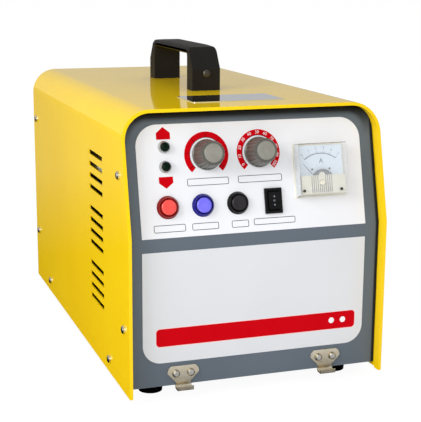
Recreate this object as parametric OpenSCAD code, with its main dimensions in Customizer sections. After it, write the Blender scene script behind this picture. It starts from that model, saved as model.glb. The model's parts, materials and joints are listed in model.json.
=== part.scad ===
// Portable electrical discharge machine: the bench unit that drives a spark-erosion head.
// The origin is at the bottom centre, on the bench; +X is to the right, +Y to the rear, +Z up.
// The front has a vertical lower half and a control half that leans back.

/* [Case] */
// Width over the cover's two sides
case_w = 225; // [215:1:250]
// Depth of the cover, front edge to rear edge
case_d = 400; // [390:1:440]
// Height of the cover, bottom edge to top
case_h = 231; // [226:1:250]
// Height of the cover's bottom edge above the bench
case_lift = 8; // [7:0.5:10]
// Thickness of the cover's sheet
cover_t = 1.2; // [1:0.1:1.6]
// Outside radius of the cover's two top bends
bend_r = 24.5; // [18:0.5:28]
// Thickness of the cover's folded front and rear edges
hem_t = 2.7; // [2.2:0.1:3.2]
// Depth of the folded edges
hem_d = 8; // [6:0.5:9]
// Height of the control half, from the cover's front bend line to its top
control_h = 99.5; // [95:0.5:106]
// Lean of the control half from the vertical, in degrees
slant = 13.5; // [10:0.5:15]
// How far the front and rear panels stand back from the cover's edges
recess = 12; // [11.5:0.5:13]
// Gap between the cover's inner face and the flanges inside it
panel_gap = 0.3; // [0.2:0.1:0.5]
// Thickness of the sheet of the panels and the tray
panel_t = 1.5; // [1.2:0.1:2]
// Height of the panels' bottom edge above the cover's
panel_up = 4; // [3:0.5:5]
// How far the front panel's bend lies below the cover's
crease_drop = 2.9; // [2:0.1:4]
// Depth of the flanges folded back from the panels
flange_d = 12; // [10:0.5:14]
// Height of the tray's side flanges
tray_flange_h = 20; // [17:0.5:22]

/* [Vents] */
// Length of a cooling slot
vent_l = 49; // [40:1:55]
// Height of a cooling slot
vent_h = 4.2; // [3:0.1:5]
// Slots in a group
vent_rows = 4; // [3:1:4]
// Groups of slots, one above the other
vent_groups = 3; // [2:1:3]
// Pitch of the slots in a group
vent_pitch = 10.2; // [8:0.1:11]
// Pitch of the groups
vent_group_pitch = 49.8; // [46:0.2:52]
// Distance of the slots from the cover's front edge
vent_front = 84; // [70:1:100]
// Height of the lowest slot's middle above the cover's bottom edge
vent_low = 52.4; // [40:0.2:56]

/* [Labels] */
// Thickness of the label films
film_t = 0.4; // [0.3:0.1:0.6]
// Distance of the labels' sides from the cover's sides
label_margin = 14.2; // [12:0.2:16]
// Distance of the control label's top edge from the top of the control half
label_top_margin = 11; // [9:0.5:13]
// Radius of the control label's top corners
label_r = 18; // [8:0.5:22]
// Height of the lower label's bottom edge above the cover's
low_label_up = 24; // [22:0.5:28]
// Radius of the lower label's bottom corners
low_label_r = 16; // [8:0.5:20]
// Height of the painted band between the two labels
band_h = 11; // [8:0.5:14]
// Width of the metal plate on top of the cover
plate_w = 82; // [60:1:90]
// Depth of the metal plate
plate_d = 45; // [35:1:50]
// Thickness of the metal plate
plate_t = 0.6; // [0.4:0.1:1]
// Distance of the metal plate's middle from the cover's front edge
plate_front = 79.5; // [74:0.5:84]

/* [Handle] */
// Length of the handle, along the depth
handle_l = 137.4; // [125:0.2:145]
// Height of the handle above the cover
handle_h = 40; // [38:0.5:48]
// Width of the handle
handle_w = 26.5; // [25:0.5:30]
// Depth of a leg, along the handle's length
leg_d = 16; // [15:0.5:18]
// Height at which the legs' outer faces start to lean in
lean_h = 19.6; // [19:0.2:22]
// How far the outer faces lean in at the top
lean_in = 12; // [9:0.5:14]
// Thickness of the grip
grip_t = 11; // [9:0.5:12]
// Distance of the handle's middle from the cover's front edge
handle_front = 212; // [205:1:220]

/* [Feet and keepers] */
// Diameter of a rubber foot
foot_d = 22; // [18:0.5:24]
// Distance of the feet from the cover's sides
foot_in_x = 28; // [26:0.5:34]
// Distance of the feet from the cover's front and rear edges
foot_in_y = 38.5; // [34:0.5:44]
// Distance of the latch keepers from the middle
keeper_x = 64; // [55:0.5:68]
// Width of a keeper's plate
keeper_w = 27.5; // [26:0.5:30]
// Width of a keeper's neck
keeper_neck_w = 12.6; // [11:0.2:14]
// Thickness of a keeper's plate
keeper_t = 1.2; // [1:0.1:1.4]

/* [Controls] */
// Diameter of a knob at its base
knob_d = 25; // [22:0.5:26]
// Height of a knob
knob_h = 17.4; // [15:0.2:19]
// Diameter of a potentiometer's shaft
shaft_d = 6; // [5:0.1:6.4]
// Diameter of a push button's collar
collar_d = 18.5; // [18:0.1:20]
// Diameter of a push button's cap
button_d = 12.5; // [11:0.1:13]
// Travel of a push button
button_travel = 3; // [2:0.1:3.4]
// Width of the manual rocker switch's frame
rocker_w = 15; // [14:0.1:16]
// Length of the manual rocker switch's frame
rocker_l = 21; // [20:0.1:23]
// Diameter of a lamp's bezel
lamp_d = 9.6; // [9:0.1:11]
// Width of the meter at its flange
meter_w = 51.5; // [50:0.5:54]
// Height of the meter at its flange
meter_l = 48; // [46:0.5:50]
// How far the meter stands out from the panel
meter_h = 12; // [11.6:0.2:13]

/* [Rear] */
// Side of the fan's square frame
fan_size = 80; // [76:1:84]
// Depth of the fan's frame
fan_t = 25; // [22:0.5:28]
// Blades of the fan
fan_blades = 7; // [5:1:9]
// Width of the power switch's frame
power_w = 22; // [20:0.5:24]
// Length of the power switch's frame
power_l = 28; // [26:0.5:30]

/* [Inside] */
// Width of the transformer's core
core_w = 96; // [84:1:100]
// Height of the transformer's core
core_h = 80; // [70:1:84]
// Thickness of the transformer's core
core_t = 46; // [36:1:50]
// Length of the heat sink, along the depth
sink_l = 110; // [90:1:120]
// Height of the heat sink
sink_h = 146; // [138:1:150]
// Fins of the heat sink
sink_fins = 12; // [8:1:14]
// Width of the circuit board
board_w = 130; // [110:1:140]
// Depth of the circuit board
board_d = 110; // [100:1:115]

/* [Hidden] */

$fn = 64;
small_fn = 32;
// Overrun of every cut past the face that it leaves
cut = 1;
// Radial clearance of a shaft that runs in its bore
run_gap = 0.05;
// Clearance of moulded pieces that slide or turn past each other
slide_gap = 0.35;
// Clearance of a screw in its hole, on the radius
screw_gap = 0.15;

// Places of the case
front_y = -case_d / 2;
rear_y = case_d / 2;
base_z = case_lift;
top_z = case_lift + case_h;
crease_h = case_h - control_h;
panel_y = front_y + recess;
back_y = rear_y - recess;
panel_bottom = base_z + panel_up;
panel_w = case_w - 2 * cover_t - 2 * panel_gap;
inner_top = top_z - cover_t - panel_gap;
crease_z = base_z + crease_h - crease_drop;
tray_z = panel_bottom + panel_t;
slope_len = (top_z - hem_t - crease_z) / cos(slant);
label_hw = case_w / 2 - label_margin;
label_len = slope_len - label_top_margin;
// Gap between the control label's lower edge and the bend
label_start = 0.3;
// Radius of the square corners of the labels and the top plate
plate_r = 2;

// Places on the control half, as shares of the label's half width and of its length
lamp_x_share = -0.763;
lamp_y_shares = [0.795, 0.624];
knob_x_shares = [-0.402, 0.057];
knob_y_share = 0.714;
button_x_shares = [-0.763, -0.461, -0.156];
button_y_share = 0.27;
rocker_x_share = 0.158;
meter_x_share = 0.575;
meter_y_share = 0.51;
lamp_x = lamp_x_share * label_hw;
knob_x = [for (s = knob_x_shares) s * label_hw];
knob_y = knob_y_share * label_len;
button_x = [for (s = button_x_shares) s * label_hw];
button_y = button_y_share * label_len;
rocker_x = rocker_x_share * label_hw;
meter_x = meter_x_share * label_hw;
meter_y = meter_y_share * label_len;

// Case screws: shank, head, and where they stand
screw_d = 4;
head_d = 7;
head_h = 2.2;
screw_l = 8;
flange_screw_in = 4.5;
flange_screw_shares = [0.236, 0.775];
tray_screw_up = 12.5;
tray_screw_shares = [0.166, 0.81];
function face_y(z) = panel_y + max(0, z - crease_z) * tan(slant);
side_screws = concat(
    [for (s = flange_screw_shares) [face_y(base_z + s * case_h) + flange_screw_in, base_z + s * case_h]],
    [for (s = flange_screw_shares) [back_y - flange_screw_in, base_z + s * case_h]],
    [for (s = tray_screw_shares) [front_y + s * case_d, base_z + tray_screw_up]]);

// An outline in Y and Z, drawn across the width
module across(w) rotate([90, 0, 90]) linear_extrude(w, center = true) children();
// An outline in X and Z, drawn along the depth
module along(d) rotate([90, 0, 0]) linear_extrude(d, center = true) children();
// A place on the leaning face, with local +Z out of the panel
module on_slope(x, s) translate([0, panel_y, crease_z]) rotate([90 - slant, 0, 0]) translate([x, s, 0]) children();
// A place on the vertical front face, with local +Z out of the panel
module on_front(x, z) translate([x, panel_y, z]) rotate([90, 0, 0]) children();
// A place on the rear face, seen from behind, with local +Z out of the panel
module on_rear(x, z) translate([0, back_y, z]) rotate([90, 0, 180]) translate([x, 0, 0]) children();
// A plate outline with rounded top corners, standing on its lower edge
module arch(w, h, r) {
    translate([-w / 2, 0]) square([w, h - r]);
    translate([-w / 2 + r, 0]) square([w - 2 * r, h]);
    for (side = [-1, 1]) translate([side * (w / 2 - r), h - r]) circle(r);
}
// A centred rectangle with four rounded corners
module rounded(w, h, r) {
    square([w, h - 2 * r], center = true);
    square([w - 2 * r, h], center = true);
    for (x = [-1, 1], y = [-1, 1]) translate([x * (w / 2 - r), y * (h / 2 - r)]) circle(r, $fn = small_fn);
}
module box(w, d, h) translate([-w / 2, -d / 2, 0]) cube([w, d, h]);
module tube(r_out, r_in, h) difference() {
    cylinder(r = r_out, h = h);
    translate([0, 0, -cut]) cylinder(r = r_in, h = h + 2 * cut);
}
// A pan-head screw that points down, with its head's seat at zero
module pan_screw(shank, len, head, high) {
    translate([0, 0, -len]) cylinder(d = shank, h = len, $fn = small_fn);
    cylinder(d = head, h = high / 2, $fn = small_fn);
    translate([0, 0, high / 2]) cylinder(d1 = head, d2 = head * pan_top_share, h = high / 2, $fn = small_fn);
}
pan_top_share = 0.66;

// The cover: one folded sheet with safety hems front and rear
module side_outline(in = 0) polygon([
    [front_y + in, base_z - in], [rear_y + in, base_z - in], [rear_y + in, top_z + cut],
    [front_y + in + (top_z + cut - base_z - crease_h) * tan(slant), top_z + cut],
    [front_y + in, base_z + crease_h]]);
module arch_skin(t) difference() {
    arch(case_w, case_h, bend_r);
    translate([0, -cut]) arch(case_w - 2 * t, case_h - t + cut, bend_r - t);
}
module cover() color("gold") difference() {
    intersection() {
        union() {
            along(case_d) translate([0, base_z]) arch_skin(cover_t);
            intersection() {
                along(case_d) translate([0, base_z]) arch_skin(hem_t);
                union() {
                    across(case_w) difference() {
                        side_outline();
                        side_outline(hem_d);
                    }
                    translate([0, rear_y - hem_d / 2, base_z + case_h / 2]) cube([case_w, hem_d, case_h], center = true);
                }
            }
        }
        across(case_w) side_outline();
    }
    for (g = [0 : vent_groups - 1], r = [0 : vent_rows - 1])
        translate([-case_w, front_y + vent_front, base_z + vent_low - vent_h / 2 + g * vent_group_pitch + r * vent_pitch])
            cube([2 * case_w, vent_l, vent_h]);
    for (p = side_screws) translate([0, p[0], p[1]]) rotate([0, 90, 0])
        cylinder(r = screw_d / 2 + screw_gap, h = case_w + 2 * cut, center = true, $fn = small_fn);
}
module case_screws() color("silver") for (p = side_screws, side = [-1, 1])
    translate([side * case_w / 2, p[0], p[1]]) rotate([0, side * 90, 0]) pan_screw(screw_d, screw_l, head_d, head_h);

// The two panels and the tray that they stand on
function crease_back() = crease_z - panel_t * tan(slant / 2);
module front_sheet_outline() polygon([
    [panel_y, panel_bottom], [panel_y, crease_z], [face_y(inner_top), inner_top],
    [face_y(inner_top) + flange_d, inner_top], [face_y(inner_top) + flange_d, inner_top - panel_t],
    [panel_y + panel_t + (inner_top - panel_t - crease_back()) * tan(slant), inner_top - panel_t],
    [panel_y + panel_t, crease_back()], [panel_y + panel_t, tray_z + panel_t],
    [panel_y + flange_d, tray_z + panel_t], [panel_y + flange_d, tray_z],
    [panel_y + panel_t, tray_z], [panel_y + panel_t, panel_bottom]]);
module front_flange_outline() polygon([
    [panel_y, panel_bottom], [panel_y, crease_z], [face_y(top_z - bend_r), top_z - bend_r],
    [face_y(top_z - bend_r) + flange_d, top_z - bend_r], [panel_y + flange_d, crease_z],
    [panel_y + flange_d, tray_z], [panel_y + panel_t, tray_z], [panel_y + panel_t, panel_bottom]]);
module side_flange_holes() for (p = side_screws) translate([0, p[0], p[1]]) rotate([0, 90, 0])
    cylinder(r = screw_d / 2 + screw_gap, h = case_w, center = true, $fn = small_fn);
module panel_limit() translate([0, panel_bottom]) arch(panel_w, inner_top - panel_bottom, bend_r - cover_t - panel_gap);
module through_hole(d) translate([0, 0, -panel_t - cut]) cylinder(d = d, h = panel_t + film_t + 2 * cut);
module slope_holes() {
    for (x = knob_x) on_slope(x, knob_y) through_hole(bushing_d + 2 * screw_gap);
    for (x = button_x) on_slope(x, button_y) through_hole(barrel_d + 2 * screw_gap);
    for (s = lamp_y_shares) on_slope(lamp_x, s * label_len) through_hole(lamp_barrel_d + 2 * screw_gap);
    on_slope(rocker_x, button_y) translate([0, 0, -panel_t - cut])
        box(rocker_w - 2 * rocker_lip + 2 * screw_gap, rocker_l - 2 * rocker_lip + 2 * screw_gap, panel_t + film_t + 2 * cut);
    on_slope(meter_x, meter_y - meter_barrel_down) through_hole(meter_barrel_d + 2 * screw_gap);
}
module front_panel() color("slategray") difference() {
    union() {
        intersection() {
            across(panel_w) front_sheet_outline();
            along(case_d) panel_limit();
        }
        for (side = [-1, 1]) translate([side * (panel_w - panel_t) / 2, 0, 0]) across(panel_t) front_flange_outline();
    }
    slope_holes();
    side_flange_holes();
    for (p = keeper_screw_places) on_front(p[0], p[1]) through_hole(keeper_screw_d + 2 * screw_gap);
}
module rear_panel() color("slategray") difference() {
    intersection() {
        union() {
            translate([0, back_y - panel_t / 2, 0]) along(panel_t) panel_limit();
            for (side = [-1, 1]) translate([side * (panel_w - panel_t) / 2, back_y - flange_d / 2, (tray_z + top_z - bend_r) / 2])
                cube([panel_t, flange_d, top_z - bend_r - tray_z], center = true);
            translate([0, back_y - flange_d / 2, tray_z + panel_t / 2]) cube([panel_w, flange_d, panel_t], center = true);
            translate([0, back_y - flange_d / 2, inner_top - panel_t / 2]) cube([panel_w, flange_d, panel_t], center = true);
        }
        along(case_d) panel_limit();
    }
    side_flange_holes();
    on_rear(fan_x, fan_z) {
        through_hole(fan_bore_d);
        for (x = [-1, 1], y = [-1, 1]) translate([x, y, 0] * fan_screw_pitch / 2) through_hole(fan_screw_d + 2 * screw_gap);
    }
    on_rear(inlet_x, fitting_z) translate([0, 0, -panel_t - cut])
        box(inlet_w + 2 * screw_gap, inlet_h + 2 * screw_gap, panel_t + 2 * cut);
    on_rear(inlet_x, fitting_z) for (x = [-1, 1]) translate([x * inlet_screw_pitch / 2, 0, 0])
        through_hole(inlet_screw_d + 2 * screw_gap);
    on_rear(power_x, fitting_z) translate([0, 0, -panel_t - cut])
        box(power_w - 2 * rocker_lip + 2 * screw_gap, power_l - 2 * rocker_lip + 2 * screw_gap, panel_t + 2 * cut);
    on_rear(fuse_x, fitting_z) through_hole(fuse_barrel_d + 2 * screw_gap);
    for (p = socket_places) on_rear(p[0], p[1]) through_hole(socket_barrel_d + 2 * screw_gap);
}
tray_front = panel_y + panel_t;
tray_rear = back_y - panel_t;
module base_tray() color("slategray") difference() {
    union() {
        translate([0, (tray_front + tray_rear) / 2, panel_bottom]) box(panel_w, tray_rear - tray_front, panel_t);
        for (side = [-1, 1]) translate([side * (panel_w - panel_t) / 2, (panel_y + back_y) / 2, panel_bottom])
            box(panel_t, back_y - panel_y - 2 * flange_d - 2 * panel_gap, tray_flange_h);
    }
    side_flange_holes();
    for (p = foot_places) translate([p[0], p[1], panel_bottom - cut])
        cylinder(r = screw_d / 2 + screw_gap, h = panel_t + 2 * cut, $fn = small_fn);
    for (x = [-1, 1], y = [-1, 1]) translate([core_x + x * clamp_bolt_x, core_y + y * clamp_bolt_y, panel_bottom - cut])
        cylinder(r = screw_d / 2 + screw_gap, h = panel_t + 2 * cut, $fn = small_fn);
    for (x = [-1, 1], y = [-1, 1]) translate([board_x + x * board_hole_x, board_y + y * board_hole_y, panel_bottom - cut])
        cylinder(r = standoff_screw_d / 2 + screw_gap, h = panel_t + 2 * cut, $fn = small_fn);
}

// Labels and the plate on the top
module control_overlay() color("whitesmoke") difference() {
    on_slope(0, label_start) linear_extrude(film_t) arch(2 * label_hw, label_len - label_start, label_r);
    slope_holes();
}
module front_overlay() color("gainsboro") on_front(0, crease_z - band_h) linear_extrude(film_t)
    mirror([0, 1]) arch(2 * label_hw, crease_z - band_h - base_z - low_label_up, low_label_r);
module top_plate() color("silver") translate([0, front_y + plate_front, top_z])
    linear_extrude(plate_t) rounded(plate_w, plate_d, plate_r);

// The carrying handle: a moulded grip whose hollow legs fit over two steel angles
handle_y = front_y + handle_front;
crown_h = 1.5;
crown_in = 18;
gap_r = 6;
grip_edge_r = 6;
pocket_wall = 2.8;
bracket_t = 3;
bracket_drop = 0.6;
bracket_h = lean_h - bracket_drop;
handle_screw_drop = 4.1;
handle_screw_up = lean_h - handle_screw_drop;
foot_screw_tail = 4;
handle_screw_l = 7;
foot_plate_t = 2.5;
gap_len = handle_l - 2 * leg_d;
module handle_outline() difference() {
    polygon([
        [-handle_l / 2, 0], [-handle_l / 2, lean_h], [-handle_l / 2 + lean_in, handle_h - crown_h],
        [-handle_l / 2 + lean_in + crown_in, handle_h], [handle_l / 2 - lean_in - crown_in, handle_h],
        [handle_l / 2 - lean_in, handle_h - crown_h], [handle_l / 2, lean_h], [handle_l / 2, 0]]);
    translate([0, -cut]) arch(gap_len, handle_h - grip_t + cut, gap_r);
}
module handle_grip() color("#231e19") translate([0, handle_y, top_z]) difference() {
    intersection() {
        across(handle_w) handle_outline();
        along(handle_l) arch(handle_w, handle_h, grip_edge_r);
    }
    for (end = [-1, 1]) {
        translate([0, end * (handle_l / 2 - leg_d / 2), -cut])
            box(handle_w - 2 * pocket_wall, leg_d - 2 * pocket_wall, bracket_h + panel_gap + cut);
        translate([0, end * (handle_l / 2 + cut), handle_screw_up]) rotate([end * 90, 0, 0])
            cylinder(r = screw_d / 2 + screw_gap, h = pocket_wall + 2 * cut, $fn = small_fn);
    }
}
module handle_brackets() color("dimgray") for (end = [-1, 1]) translate([0, handle_y, top_z]) difference() {
    union() {
        translate([0, end * (handle_l / 2 - pocket_wall - bracket_t / 2 - panel_gap), 0])
            box(handle_w - 2 * pocket_wall - 2 * panel_gap, bracket_t, bracket_h);
        translate([0, end * (handle_l / 2 - leg_d / 2), 0])
            box(handle_w - 2 * pocket_wall - 2 * panel_gap, leg_d - 2 * pocket_wall - 2 * panel_gap, foot_plate_t);
    }
    translate([0, end * handle_l / 2, handle_screw_up]) rotate([end * 90, 0, 0])
        cylinder(r = screw_d / 2 + screw_gap, h = leg_d, $fn = small_fn);
}
module handle_screws() color("silver") for (end = [-1, 1])
    translate([0, handle_y + end * handle_l / 2, top_z + handle_screw_up]) rotate([-end * 90, 0, 0])
        pan_screw(screw_d, handle_screw_l, head_d, head_h);

// Feet
foot_taper_share = 0.91;
foot_h = panel_bottom;
foot_pocket_d = 9;
foot_pocket_h = 5;
foot_screw_l = foot_h - foot_pocket_h + panel_t + foot_screw_tail;
foot_places = [for (x = [-1, 1], y = [-1, 1]) [x * (case_w / 2 - foot_in_x), y * (case_d / 2 - foot_in_y)]];
module rubber_feet() color("#181818") for (p = foot_places) translate([p[0], p[1], 0]) difference() {
    cylinder(d1 = foot_d * foot_taper_share, d2 = foot_d, h = foot_h);
    translate([0, 0, -cut]) cylinder(d = foot_pocket_d, h = foot_pocket_h + cut, $fn = small_fn);
    cylinder(r = screw_d / 2 + screw_gap, h = foot_h + cut, $fn = small_fn);
}
module foot_screws() color("silver") for (p = foot_places) translate([p[0], p[1], foot_pocket_h])
    mirror([0, 0, 1]) pan_screw(screw_d, foot_screw_l, head_d, head_h);

// Latch keepers: pressed plates with two lobes, a neck, and a lip that curls out under the panel
keeper_screw_d = 3;
keeper_head_d = 6.4;
keeper_head_h = 1.8;
keeper_screw_pitch = 12.8;
keeper_screw_up = 14.2;
keeper_screw_tail = 2;
keeper_top_up = 6.4;
keeper_shoulder = 8;
keeper_lip_w = 14;
keeper_lip_out = 8;
keeper_lip_drop = 2.8;
keeper_curl_r = 2;
keeper_hook_h = 2.2;
keeper_z = base_z + keeper_screw_up;
keeper_lobe_r = (keeper_w - keeper_screw_pitch) / 2;
keeper_lip_z = panel_bottom - keeper_lip_drop;
keeper_curl_z = keeper_lip_z + keeper_t + keeper_curl_r;
keeper_screw_places = [for (k = [-1, 1], x = [-1, 1]) [k * keeper_x + x * keeper_screw_pitch / 2, keeper_z]];
module keeper_outline() intersection() {
    union() {
        for (x = [-1, 1]) translate([x * keeper_screw_pitch / 2, 0]) circle(keeper_lobe_r);
        translate([-keeper_screw_pitch / 2, -keeper_lobe_r]) square([keeper_screw_pitch, 2 * keeper_lobe_r]);
        polygon([
            [-keeper_w / 2, 0], [-keeper_neck_w / 2, -keeper_shoulder], [-keeper_neck_w / 2, keeper_curl_z - keeper_z],
            [keeper_neck_w / 2, keeper_curl_z - keeper_z], [keeper_neck_w / 2, -keeper_shoulder], [keeper_w / 2, 0]]);
    }
    translate([-keeper_w, -keeper_w]) square([2 * keeper_w, keeper_w + keeper_top_up]);
}
module keeper_lip_outline() {
    translate([panel_y - keeper_t - keeper_curl_r, keeper_curl_z]) intersection() {
        difference() {
            circle(keeper_t + keeper_curl_r);
            circle(keeper_curl_r);
        }
        translate([0, -keeper_t - keeper_curl_r]) square(keeper_t + keeper_curl_r);
    }
    translate([panel_y - keeper_lip_out, keeper_lip_z]) square([keeper_lip_out - keeper_t - keeper_curl_r, keeper_t]);
    translate([panel_y - keeper_lip_out, keeper_lip_z]) square([keeper_t, keeper_t + keeper_hook_h]);
}
module latch_keepers() color("tan") difference() {
    for (k = [-1, 1]) {
        on_front(k * keeper_x, keeper_z) linear_extrude(keeper_t) keeper_outline();
        translate([k * keeper_x, 0, 0]) across(keeper_lip_w) keeper_lip_outline();
    }
    for (p = keeper_screw_places) on_front(p[0], p[1]) translate([0, 0, -cut])
        cylinder(r = keeper_screw_d / 2 + screw_gap, h = keeper_t + 2 * cut, $fn = small_fn);
}
module keeper_screws() color("silver") for (p = keeper_screw_places) on_front(p[0], p[1]) translate([0, 0, keeper_t])
    pan_screw(keeper_screw_d, keeper_t + panel_t + keeper_screw_tail, keeper_head_d, keeper_head_h);

// Potentiometers with three lugs, their shafts, and ribbed knobs with a skirt
bushing_d = 7;
bushing_up = 5;
pot_d = 24;
pot_h = 9;
pot_lug_w = 2;
pot_lug_l = 6;
pot_lug_root = 3;
pot_lug_pitch = 5;
lug_t = 0.8;
shaft_in = 5;
nut_flats = 10;
nut_h = 2.2;
knob_lift = 0.8;
knob_pocket_d = 14;
knob_bore_h = 13;
knob_ribs = 20;
groove_r = 0.9;
groove_out = 0.35;
// The knob's half outline: skirt, side from the foot share to the crown share, and a dished face
foot_share = [0.95, 0.14];
crown_share = [0.8, 0.92];
knob_outline_shares = [[0, 0], [1, 0], [1, 0.1], foot_share, crown_share, [0.75, 1], [0.52, 1], [0.49, 0.97], [0, 0.97]];
groove_lean = atan((foot_share[0] - crown_share[0]) * knob_d / 2 / ((crown_share[1] - foot_share[1]) * knob_h));
module pot(x) on_slope(x, knob_y) difference() {
    union() {
        translate([0, 0, -panel_t - pot_h]) cylinder(d = pot_d, h = pot_h);
        translate([0, 0, -panel_t]) cylinder(d = bushing_d, h = panel_t + film_t + bushing_up);
        for (k = [-1 : 1]) translate([k * pot_lug_pitch, (pot_lug_root - pot_d - pot_lug_l) / 2, -panel_t - pot_h / 2])
            cube([pot_lug_w, pot_lug_l + pot_lug_root, lug_t], center = true);
    }
    translate([0, 0, -panel_t - shaft_in - run_gap])
        cylinder(r = shaft_d / 2 + run_gap, h = panel_t + shaft_in + film_t + bushing_up + cut);
}
module pot_shaft(x) on_slope(x, knob_y) translate([0, 0, -panel_t - shaft_in])
    cylinder(d = shaft_d, h = panel_t + shaft_in + film_t + knob_lift + knob_bore_h - slide_gap);
module knob(x) on_slope(x, knob_y) translate([0, 0, film_t + knob_lift]) difference() {
    rotate_extrude() polygon([for (p = knob_outline_shares) [p[0] * knob_d / 2, p[1] * knob_h]]);
    translate([0, 0, -cut]) cylinder(d = knob_pocket_d, h = bushing_up - knob_lift + slide_gap + cut);
    translate([0, 0, -cut]) cylinder(r = shaft_d / 2 + run_gap, h = knob_bore_h + cut);
    for (k = [0 : knob_ribs - 1]) rotate([0, 0, k * 360 / knob_ribs])
        translate([foot_share[0] * knob_d / 2 + groove_out, 0, foot_share[1] * knob_h]) rotate([0, -groove_lean, 0])
            cylinder(r = groove_r, h = knob_h, $fn = small_fn);
}
module servo_pot() color("darkgray") pot(knob_x[0]);
module current_pot() color("darkgray") pot(knob_x[1]);
module servo_shaft() color("silver") pot_shaft(knob_x[0]);
module current_shaft() color("silver") pot_shaft(knob_x[1]);
module servo_knob() color("dimgray") knob(knob_x[0]);
module current_knob() color("dimgray") knob(knob_x[1]);
module hex_nut(flats, bore, h) difference() {
    cylinder(d = flats / cos(30), h = h, $fn = 6);
    translate([0, 0, -cut]) cylinder(d = bore, h = h + 2 * cut);
}

// Push buttons: a conical collar on a barrel with its nut, and a dished cap on a stem that slides in it
barrel_d = 15.8;
barrel_l = 20;
barrel_nut_flats = 20;
barrel_nut_h = 3;
collar_h = 3.4;
collar_top_share = 0.84;
cap_up = 7.4;
cap_foot = 4;
cap_edge = 0.8;
cap_dish = 0.5;
stem_d = 4.4;
stem_l = 7;
tab_w = 4;
tab_l = 6;
cap_floor = cap_foot + button_travel + slide_gap;
module button_body(x) on_slope(x, button_y) difference() {
    union() {
        translate([0, 0, -barrel_l]) cylinder(d = barrel_d, h = barrel_l + film_t);
        translate([0, 0, film_t]) cylinder(d1 = collar_d, d2 = collar_d * collar_top_share, h = collar_h);
        for (k = [-1, 1]) translate([k * tab_w, 0, -barrel_l - tab_l]) box(lug_t, tab_w, tab_l + lug_t);
    }
    translate([0, 0, -cap_floor]) cylinder(r = button_d / 2 + slide_gap, h = cap_floor + film_t + collar_h + cut);
    translate([0, 0, -cap_floor - stem_l]) cylinder(r = stem_d / 2 + slide_gap, h = stem_l + cut);
}
module button_cap(x) on_slope(x, button_y) {
    rotate_extrude() polygon([
        [0, -cap_foot], [button_d / 2, -cap_foot], [button_d / 2, cap_up - cap_edge],
        [button_d / 2 - cap_edge, cap_up], [button_d / 2 - 2 * cap_edge, cap_up], [0, cap_up - cap_dish]]);
    translate([0, 0, button_travel + slide_gap - cap_floor - stem_l]) cylinder(d = stem_d, h = stem_l + cap_foot);
}
module red_button_body() color("firebrick") button_body(button_x[0]);
module blue_button_body() color("darkblue") button_body(button_x[1]);
module black_button_body() color("#303032") button_body(button_x[2]);
module red_button() color("tomato") button_cap(button_x[0]);
module blue_button() color("mediumblue") button_cap(button_x[1]);
module black_button() color("#404042") button_cap(button_x[2]);
module panel_nuts() color("silver") {
    for (x = knob_x) on_slope(x, knob_y) translate([0, 0, film_t]) hex_nut(nut_flats, bushing_d + 2 * run_gap, nut_h);
    for (x = button_x) on_slope(x, button_y) translate([0, 0, -panel_t - barrel_nut_h])
        hex_nut(barrel_nut_flats, barrel_d + 2 * run_gap, barrel_nut_h);
}

// Rocker switches: a framed body, and a key that rocks on two pins
rocker_lip = 1.4;
rocker_wall = 0.95;
bezel_h = 2;
pivot_up = 0.6;
pivot_d = 2;
pin_l = 0.6;
key_below = 2;
key_middle = 2.6;
key_rise = 8;
rocker_tilt = 12;
switch_depth = 14;
switch_tab_pitch = 5;
function key_r(l) = l / 2 - rocker_lip - rocker_wall - slide_gap;
function key_w(w) = w - 2 * (rocker_lip + rocker_wall + slide_gap);
module switch_body(w, l) difference() {
    union() {
        box(w, l, bezel_h);
        translate([0, 0, -switch_depth]) box(w - 2 * rocker_lip, l - 2 * rocker_lip, switch_depth + bezel_h);
        for (k = [-1 : 1]) translate([0, k * switch_tab_pitch, -switch_depth - tab_l]) box(tab_w, lug_t, tab_l + lug_t);
    }
    translate([0, 0, pivot_up - key_below - key_r(l) * sin(rocker_tilt) - slide_gap])
        box(key_w(w) + 2 * slide_gap, 2 * (key_r(l) + slide_gap), switch_depth);
    translate([0, 0, pivot_up]) rotate([0, 90, 0]) cylinder(
        r = pivot_d / 2 + run_gap, h = key_w(w) + 2 * (slide_gap + pin_l + run_gap), center = true, $fn = small_fn);
}
module switch_key(w, l, tilt) translate([0, 0, pivot_up]) rotate([tilt, 0, 0]) {
    intersection() {
        rotate([0, 90, 0]) cylinder(r = key_r(l), h = key_w(w), center = true);
        across(key_w(w)) polygon([
            [-key_r(l), -key_below], [key_r(l), -key_below], [key_r(l), key_middle + key_r(l) * tan(key_rise)],
            [0, key_middle], [-key_r(l), key_middle + key_r(l) * tan(key_rise)]]);
    }
    rotate([0, 90, 0]) cylinder(d = pivot_d, h = key_w(w) + 2 * (slide_gap + pin_l), center = true, $fn = small_fn);
}
module at_manual_switch() on_slope(rocker_x, button_y) translate([0, 0, film_t]) children();
module manual_switch_body() color("#151515") at_manual_switch() switch_body(rocker_w, rocker_l);
module manual_rocker() color("#101010") at_manual_switch() switch_key(rocker_w, rocker_l, 0);
module power_switch_body() color("#151515") on_rear(power_x, fitting_z) switch_body(power_w, power_l);
module power_rocker() color("#101010") on_rear(power_x, fitting_z) switch_key(power_w, power_l, rocker_tilt);

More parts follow.
